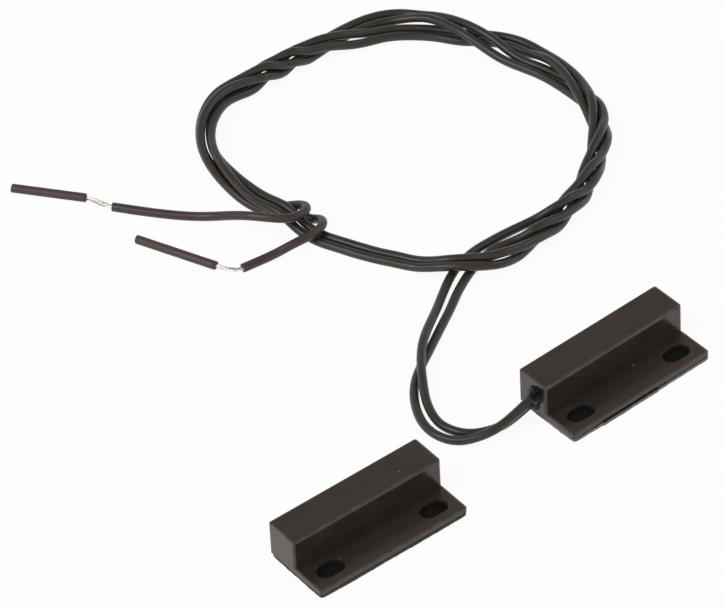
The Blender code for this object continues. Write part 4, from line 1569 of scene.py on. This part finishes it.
@dataclass
class Studio:
    """The pale floor, the soft light and the camera at the photograph's angle."""

    azimuth: float = -38.11
    elevation: float = 42.26
    roll: float = -3.223
    distance: float = 1.01084
    focal: float = 6584.94
    shift_x: float = 0.038860
    shift_y: float = -0.011532
    aim: tuple = (0.0, 0.03, 0.0)
    lamps: tuple = (
        Lamp("lamp_left", (-0.75, 0.15, 0.75), 0.5, 4.6),
        Lamp("lamp_right", (0.7, -0.35, 0.8), 0.35, 1.2),
    )
    floor_drop: float = 0.00002
    floor_white: float = 0.93

    def build(self) -> None:
        """Makes the camera, the floor, the lamps and the surroundings."""
        self.camera()
        self.floor()
        self.world()
        for lamp in self.lamps:
            self.lamp(lamp)
        bpy.context.scene.view_settings.view_transform = "Standard"

    def camera(self) -> None:
        """Sets the camera: its axes by azimuth, elevation and roll, its place by the shifts and distance."""
        a, e, r = (math.radians(v) for v in (self.azimuth, self.elevation, self.roll))
        back = np.array([math.sin(a) * math.cos(e), -math.cos(a) * math.cos(e), math.sin(e)])
        level = np.array([math.cos(a), math.sin(a), 0.0])
        upright = np.cross(back, level)
        right = math.cos(r) * level + math.sin(r) * upright
        up = -math.sin(r) * level + math.cos(r) * upright
        made = bpy.data.cameras.new("camera")
        made.sensor_width = 36.0
        made.lens = self.focal / PICTURE_WIDTH * made.sensor_width
        made.clip_start = 0.05
        made.clip_end = 50.0
        place = -self.shift_x * right - self.shift_y * up + self.distance * back
        bpy.context.scene.camera = stand(made, (right, up, back), place)

    def floor(self) -> None:
        """Lays the floor: a wide pale disc, lifted to white where it is seen directly or mirrored."""
        reach = np.array([0.0, 0.4, 6.0])[:, None]
        ahead, left = np.eye(3)[:2, None]
        grid = rings_round(-self.floor_drop * UP[None], ahead, left, reach, turn_of(64))
        mesh = Skin().add(grid).mesh("floor")
        material = bpy.data.materials.new("floor")
        material.use_nodes = True
        tree = material.node_tree
        tree.nodes.remove(tree.nodes["Principled BSDF"])
        nodes = Nodes(tree)
        ray = nodes.add("LightPath").outputs
        seen = nodes.math("MAXIMUM", ray["Is Camera Ray"], ray["Is Glossy Ray"])
        seen = nodes.math("MAXIMUM", seen, ray["Is Transmission Ray"])
        share = nodes.math("MULTIPLY", seen, self.floor_white)
        lit = nodes.add("BsdfDiffuse", {"Color": (0.92, 0.92, 0.92)})
        white = nodes.add("Emission", {"Color": (1.0, 1.0, 1.0), "Strength": 1.0})
        mixed = nodes.add("MixShader", {0: share, 1: lit.outputs[0], 2: white.outputs[0]})
        nodes.feed(tree.nodes["Material Output"].inputs["Surface"], mixed.outputs[0])
        mesh.materials.append(material)
        holder = bpy.data.objects.new("floor", mesh)
        bpy.context.scene.collection.objects.link(holder)

    @staticmethod
    def world() -> None:
        """Sets the surroundings: white at the horizon, greyer overhead, by the height of the direction."""
        world = bpy.data.worlds.new("studio")
        world.use_nodes = True
        nodes = Nodes(world.node_tree)
        height = nodes.add("SeparateXYZ", {0: nodes.add("TexCoord").outputs["Generated"]}).outputs[2]
        level = nodes.span(height, 0.08, 0.75, 1.0, 0.42)
        colour = nodes.add("CombineColor", {0: level, 1: level, 2: level})
        ground = world.node_tree.nodes["Background"]
        nodes.feed(ground.inputs["Strength"], 1.0)
        nodes.feed(ground.inputs["Color"], colour.outputs[0])
        bpy.context.scene.world = world

    def lamp(self, lamp: Lamp) -> None:
        """Hangs one square soft lamp and turns it to the part.

        Args:
            lamp: Its place, size and power.
        """
        light = bpy.data.lights.new(lamp.name, "AREA")
        light.size = lamp.size
        light.energy = lamp.power
        place = np.array(lamp.place)
        back = unit(place - np.array(self.aim))
        right = unit(np.cross(UP, back))
        stand(light, (right, np.cross(back, right), back), place)


WIRE_A = Wire(
    letter="a",
    side=1,
    phase=3.0,
    tail=(
        (-3.2, -0.6, 1.35), (-5.9, -0.8, 1.12), (-8.6, -0.6, 0.86), (-11.0, 0.6, 0.44), (-13.0, 2.4, 0.08),
        (-14.4, 4.9, 0), (-14.7, 7.9, 0), (-13.8, 11.0, 0), (-12.2, 13.8, 0), (-10.2, 16.2, 0),
        (-7.8, 18.2, 0), (-4.6, 20.1, 0), (-1.0, 22.2, 0), (3.0, 24.5, 0), (5.9, 26.2, 0), (8.6, 27.9, 0),
        (12.9, 30.1, 0), (15.8, 31.1, 0),
    ),
    lay=(
        (-104, -1.64, 0), (-99, -1.64, 0), (-95.5, -1.35, 0.1), (-92, -0.75, 0.5), (-88.7, -0.2, 1.05),
        (-85.4, 0, 1.2), (-82, 0.32, 1.12), (-79, 0.5, 1), (-72, 0.71, 0.71), (-65, 0.5, 0), (-57, 0, 0),
        (-49, -0.5, 0), (-41, -0.71, 0.71), (-33, -0.5, 1), (-25, 0, 1.41), (-17, 0.5, 1), (0, 1.38, 0.3),
        (6, 1.58, 0.02), (15, 1.58, 0), (20, 1.4, 0), (25, 1.1, 0), (31, 0.6, 0), (38, 0.2, 0),
        (45, -0.15, 0), (51, -0.3, 0), (57, -0.4, 0), (62, -0.42, 0.2), (67, -0.32, 0.6), (73, -0.1, 1),
        (79, 0.3, 1.05), (85, 0.5, 1), (90, 0.76, 0.76), (95.5, 0.52, 0), (101, 0, 0), (106, -0.52, 0),
        (120, -0.71, 0.71), (135, -0.5, 1), (151, 0, 1.41), (167, 0.5, 1), (180, 0.5, 1), (184, 0.5, 0.55),
        (188, 0.5, 0.15), (192, 0.5, 0), (231, 0.5, 0), (237, 0.5, 0.55), (242, 0.5, 1.02),
        (247, 0.58, 1.08), (251, 0.7, 0.95), (256, 0.78, 0.6), (263, 0.52, 0), (272, 0, 0),
        (281, -0.54, 0), (284, -0.74, 0.12), (288, -0.8, 0.64), (295, -0.5, 1), (303, 0, 1.41),
        (311, 0.5, 1), (319, 0.71, 0.71), (327, 0.5, 0), (335, 0, 0), (343, -0.5, 0), (360, -1.05, 0),
        (368, -1.45, 0), (374, -1.62, 0.1), (380, -1.42, 0.4), (385.5, -1.05, 0.82), (391, -0.6, 1.1),
        (398, 0, 1.1), (405, 0.5, 0.85), (411, 0.72, 0.35), (417, 0.8, 0), (426, 0.55, 0), (433, 0.15, 0),
        (439, -0.2, 0), (445, -0.5, 0), (450, -0.76, 0.76), (455.5, -0.52, 1.04), (461, 0, 1.5),
        (466, 0.52, 1.04), (480, 0.71, 0.71), (495, 0.5, 0), (511, 0, 0), (520, -0.3, 0), (527, -0.7, 0),
        (531, -1.1, 0.02), (535, -1.4, 0.25),
    ),
    end=(
        (2.5, 60.4, 0.54), (3.0, 58.8, 0.95), (2.5, 57.0, 1.38), (0.5, 56.0, 1.64), (-1.6, 56.5, 1.74),
        (-3.5, 58.2, 1.78), (-5.0, 60.4, 1.68), (-6.2, 63.0, 1.28), (-7.3, 65.7, 0.68), (-8.8, 68.3, 0.2),
        (-11.2, 71.3, 0.02), (-14.6, 75.7, 0), (-18.0, 80.6, 0),
    ),
    bared=((-18.7, 82.1), (-19.3, 83.9)),
    sleeve=(-19.7, 85.1, 125.9, 12.5),
    sleeve_body=Body.SLEEVE_A,
    splay=0.55,
)

WIRE_B = Wire(
    letter="b",
    side=-1,
    phase=4.6,
    tail=(
        (-3.2, 0.4, 0.28), (-5.8, 0.6, 0.02), (-8.2, 1.2, 0), (-10.5, 2.5, 0), (-12.0, 4.6, 0),
        (-12.6, 7.2, 0), (-12.1, 9.9, 0.06), (-11.0, 12.5, 0.22), (-9.7, 14.6, 0.52), (-8.3, 16.6, 0.82),
        (-6.1, 19.3, 0.88), (-3.2, 22.1, 0.82), (1.2, 25.3, 0.5), (4.4, 27.6, 0.12), (7.1, 29.5, 0),
        (11.3, 32.0, 0), (14.8, 33.2, 0),
    ),
    lay=(
        (-106, -2.77, 0), (-100, -2.83, 0), (-94, -2.64, 0), (-87, -2.2, 0.02), (-84, -1.9, 0.14),
        (-81.5, -1.5, 0.4), (-79.5, -1.08, 0.85), (-77, -0.52, 1.2), (-72, 0, 1.45), (-65, 0.5, 1),
        (-57, 0.71, 0.71), (-49, 0.5, 0), (-41, 0, 0), (-33, -0.5, 0), (-25, -0.71, 0.71), (-17, -0.5, 1),
        (-8, 0.02, 1.1), (0, 0.4, 0.92), (6, 0.56, 0.34), (10, 0.56, 0), (15, 0.52, 0), (20, 0.3, 0),
        (25, -0.05, 0), (31, -0.6, 0), (38, -0.95, 0), (45, -1.22, 0), (51, -1.36, 0), (57, -1.44, 0),
        (64, -1.45, 0.05), (70, -1.28, 0.35), (75, -1, 0.7), (79, -0.8, 0.95), (85, -0.48, 1.12),
        (90, 0, 1.52), (95.5, 0.52, 1.06), (101, 0.76, 0.76), (106, 0.52, 0), (120, 0, 0), (135, -0.5, 0),
        (151, -0.71, 0.71), (167, -0.5, 1), (180, -0.5, 1.04), (184, -0.48, 0.68), (188, -0.5, 0.18),
        (191, -0.5, 0), (232, -0.5, 0), (238, -0.5, 0.55), (243, -0.55, 1.02), (248, -0.55, 1.1),
        (252, -0.2, 1.2), (256, 0.22, 1.38), (263, 0.52, 1.04), (272, 0.71, 0.71), (281, 0.5, 0),
        (288, 0, 0), (295, -0.5, 0), (303, -0.71, 0.71), (311, -0.5, 1), (319, 0, 1.41), (327, 0.5, 1),
        (335, 0.71, 0.71), (343, 0.5, 0), (360, -0.06, 0), (366, -0.44, 0), (371, -0.56, 0.12),
        (376, -0.45, 0.5), (381, -0.15, 0.9), (386, 0.25, 1.12), (391, 0.7, 1.1), (398, 1.2, 0.75),
        (405, 1.65, 0.2), (411, 2.0, 0), (417, 1.95, 0), (426, 1.6, 0), (433, 1.25, 0), (439, 0.9, 0),
        (445, 0.5, 0), (450, 0, 0), (455.5, -0.52, 0), (461, -0.76, 0.76), (466, -0.52, 1.04),
        (480, 0, 1.41), (495, 0.5, 1), (511, 0.71, 0.71), (527, 0.5, 0), (532, 0.3, 0), (536, -0.05, 0),
        (540, -0.8, 0), (543, -1.35, 0), (546, -1.6, 0),
    ),
    end=(
        (3.7, 55.8, 0.2), (3.45, 54.4, 0.58), (2.25, 53.0, 0.9), (0.3, 52.4, 0.96), (-2.1, 52.6, 0.88),
        (-4.0, 53.2, 0.64), (-5.6, 53.9, 0.28), (-7.4, 54.5, 0.04), (-9.6, 54.9, 0), (-12.1, 55.3, 0),
    ),
    bared=((-13.3, 55.95), (-14.2, 57.1)),
    sleeve=(-14.8, 58.5, 111.3, 14.6),
    sleeve_body=Body.SLEEVE_B,
    splay=0.12,
)


def main() -> None:
    """Loads the frame, builds every sub-assembly in order and reports each piece."""
    logging.basicConfig(level=logging.INFO, format="%(name)s %(message)s")
    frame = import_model()
    Studio().build()
    shop = Workshop(Paintbox())
    WIRE_A.build(shop)
    WIRE_B.build(shop)
    window = Window()
    ContactHalf(
        "sensor", Body.SENSOR, place=(0.0, 0.0), yaw=0.0, window=window,
        pad_steps=(-0.0080, 0.0030, 0.00016), pad_proud=0.0002, pad_pale=1.0,
    ).build(shop)
    ContactHalf(
        "magnet", Body.MAGNET, place=(-0.0497, -0.0003), yaw=-2.29, window=None,
        pad_steps=(-0.0110, 0.0120, 0.00003), pad_proud=0.0001, pad_pale=0.3,
    ).build(shop)
    radius = WireSizes().diameter / 2
    ExitGlue(window, ((*WIRE_A.start(), radius), (*WIRE_B.start(), radius))).build(shop)
    InnerWires().build(shop)
    InnerParts().dress(frame, shop.paints)


if __name__ == "__main__":
    main()
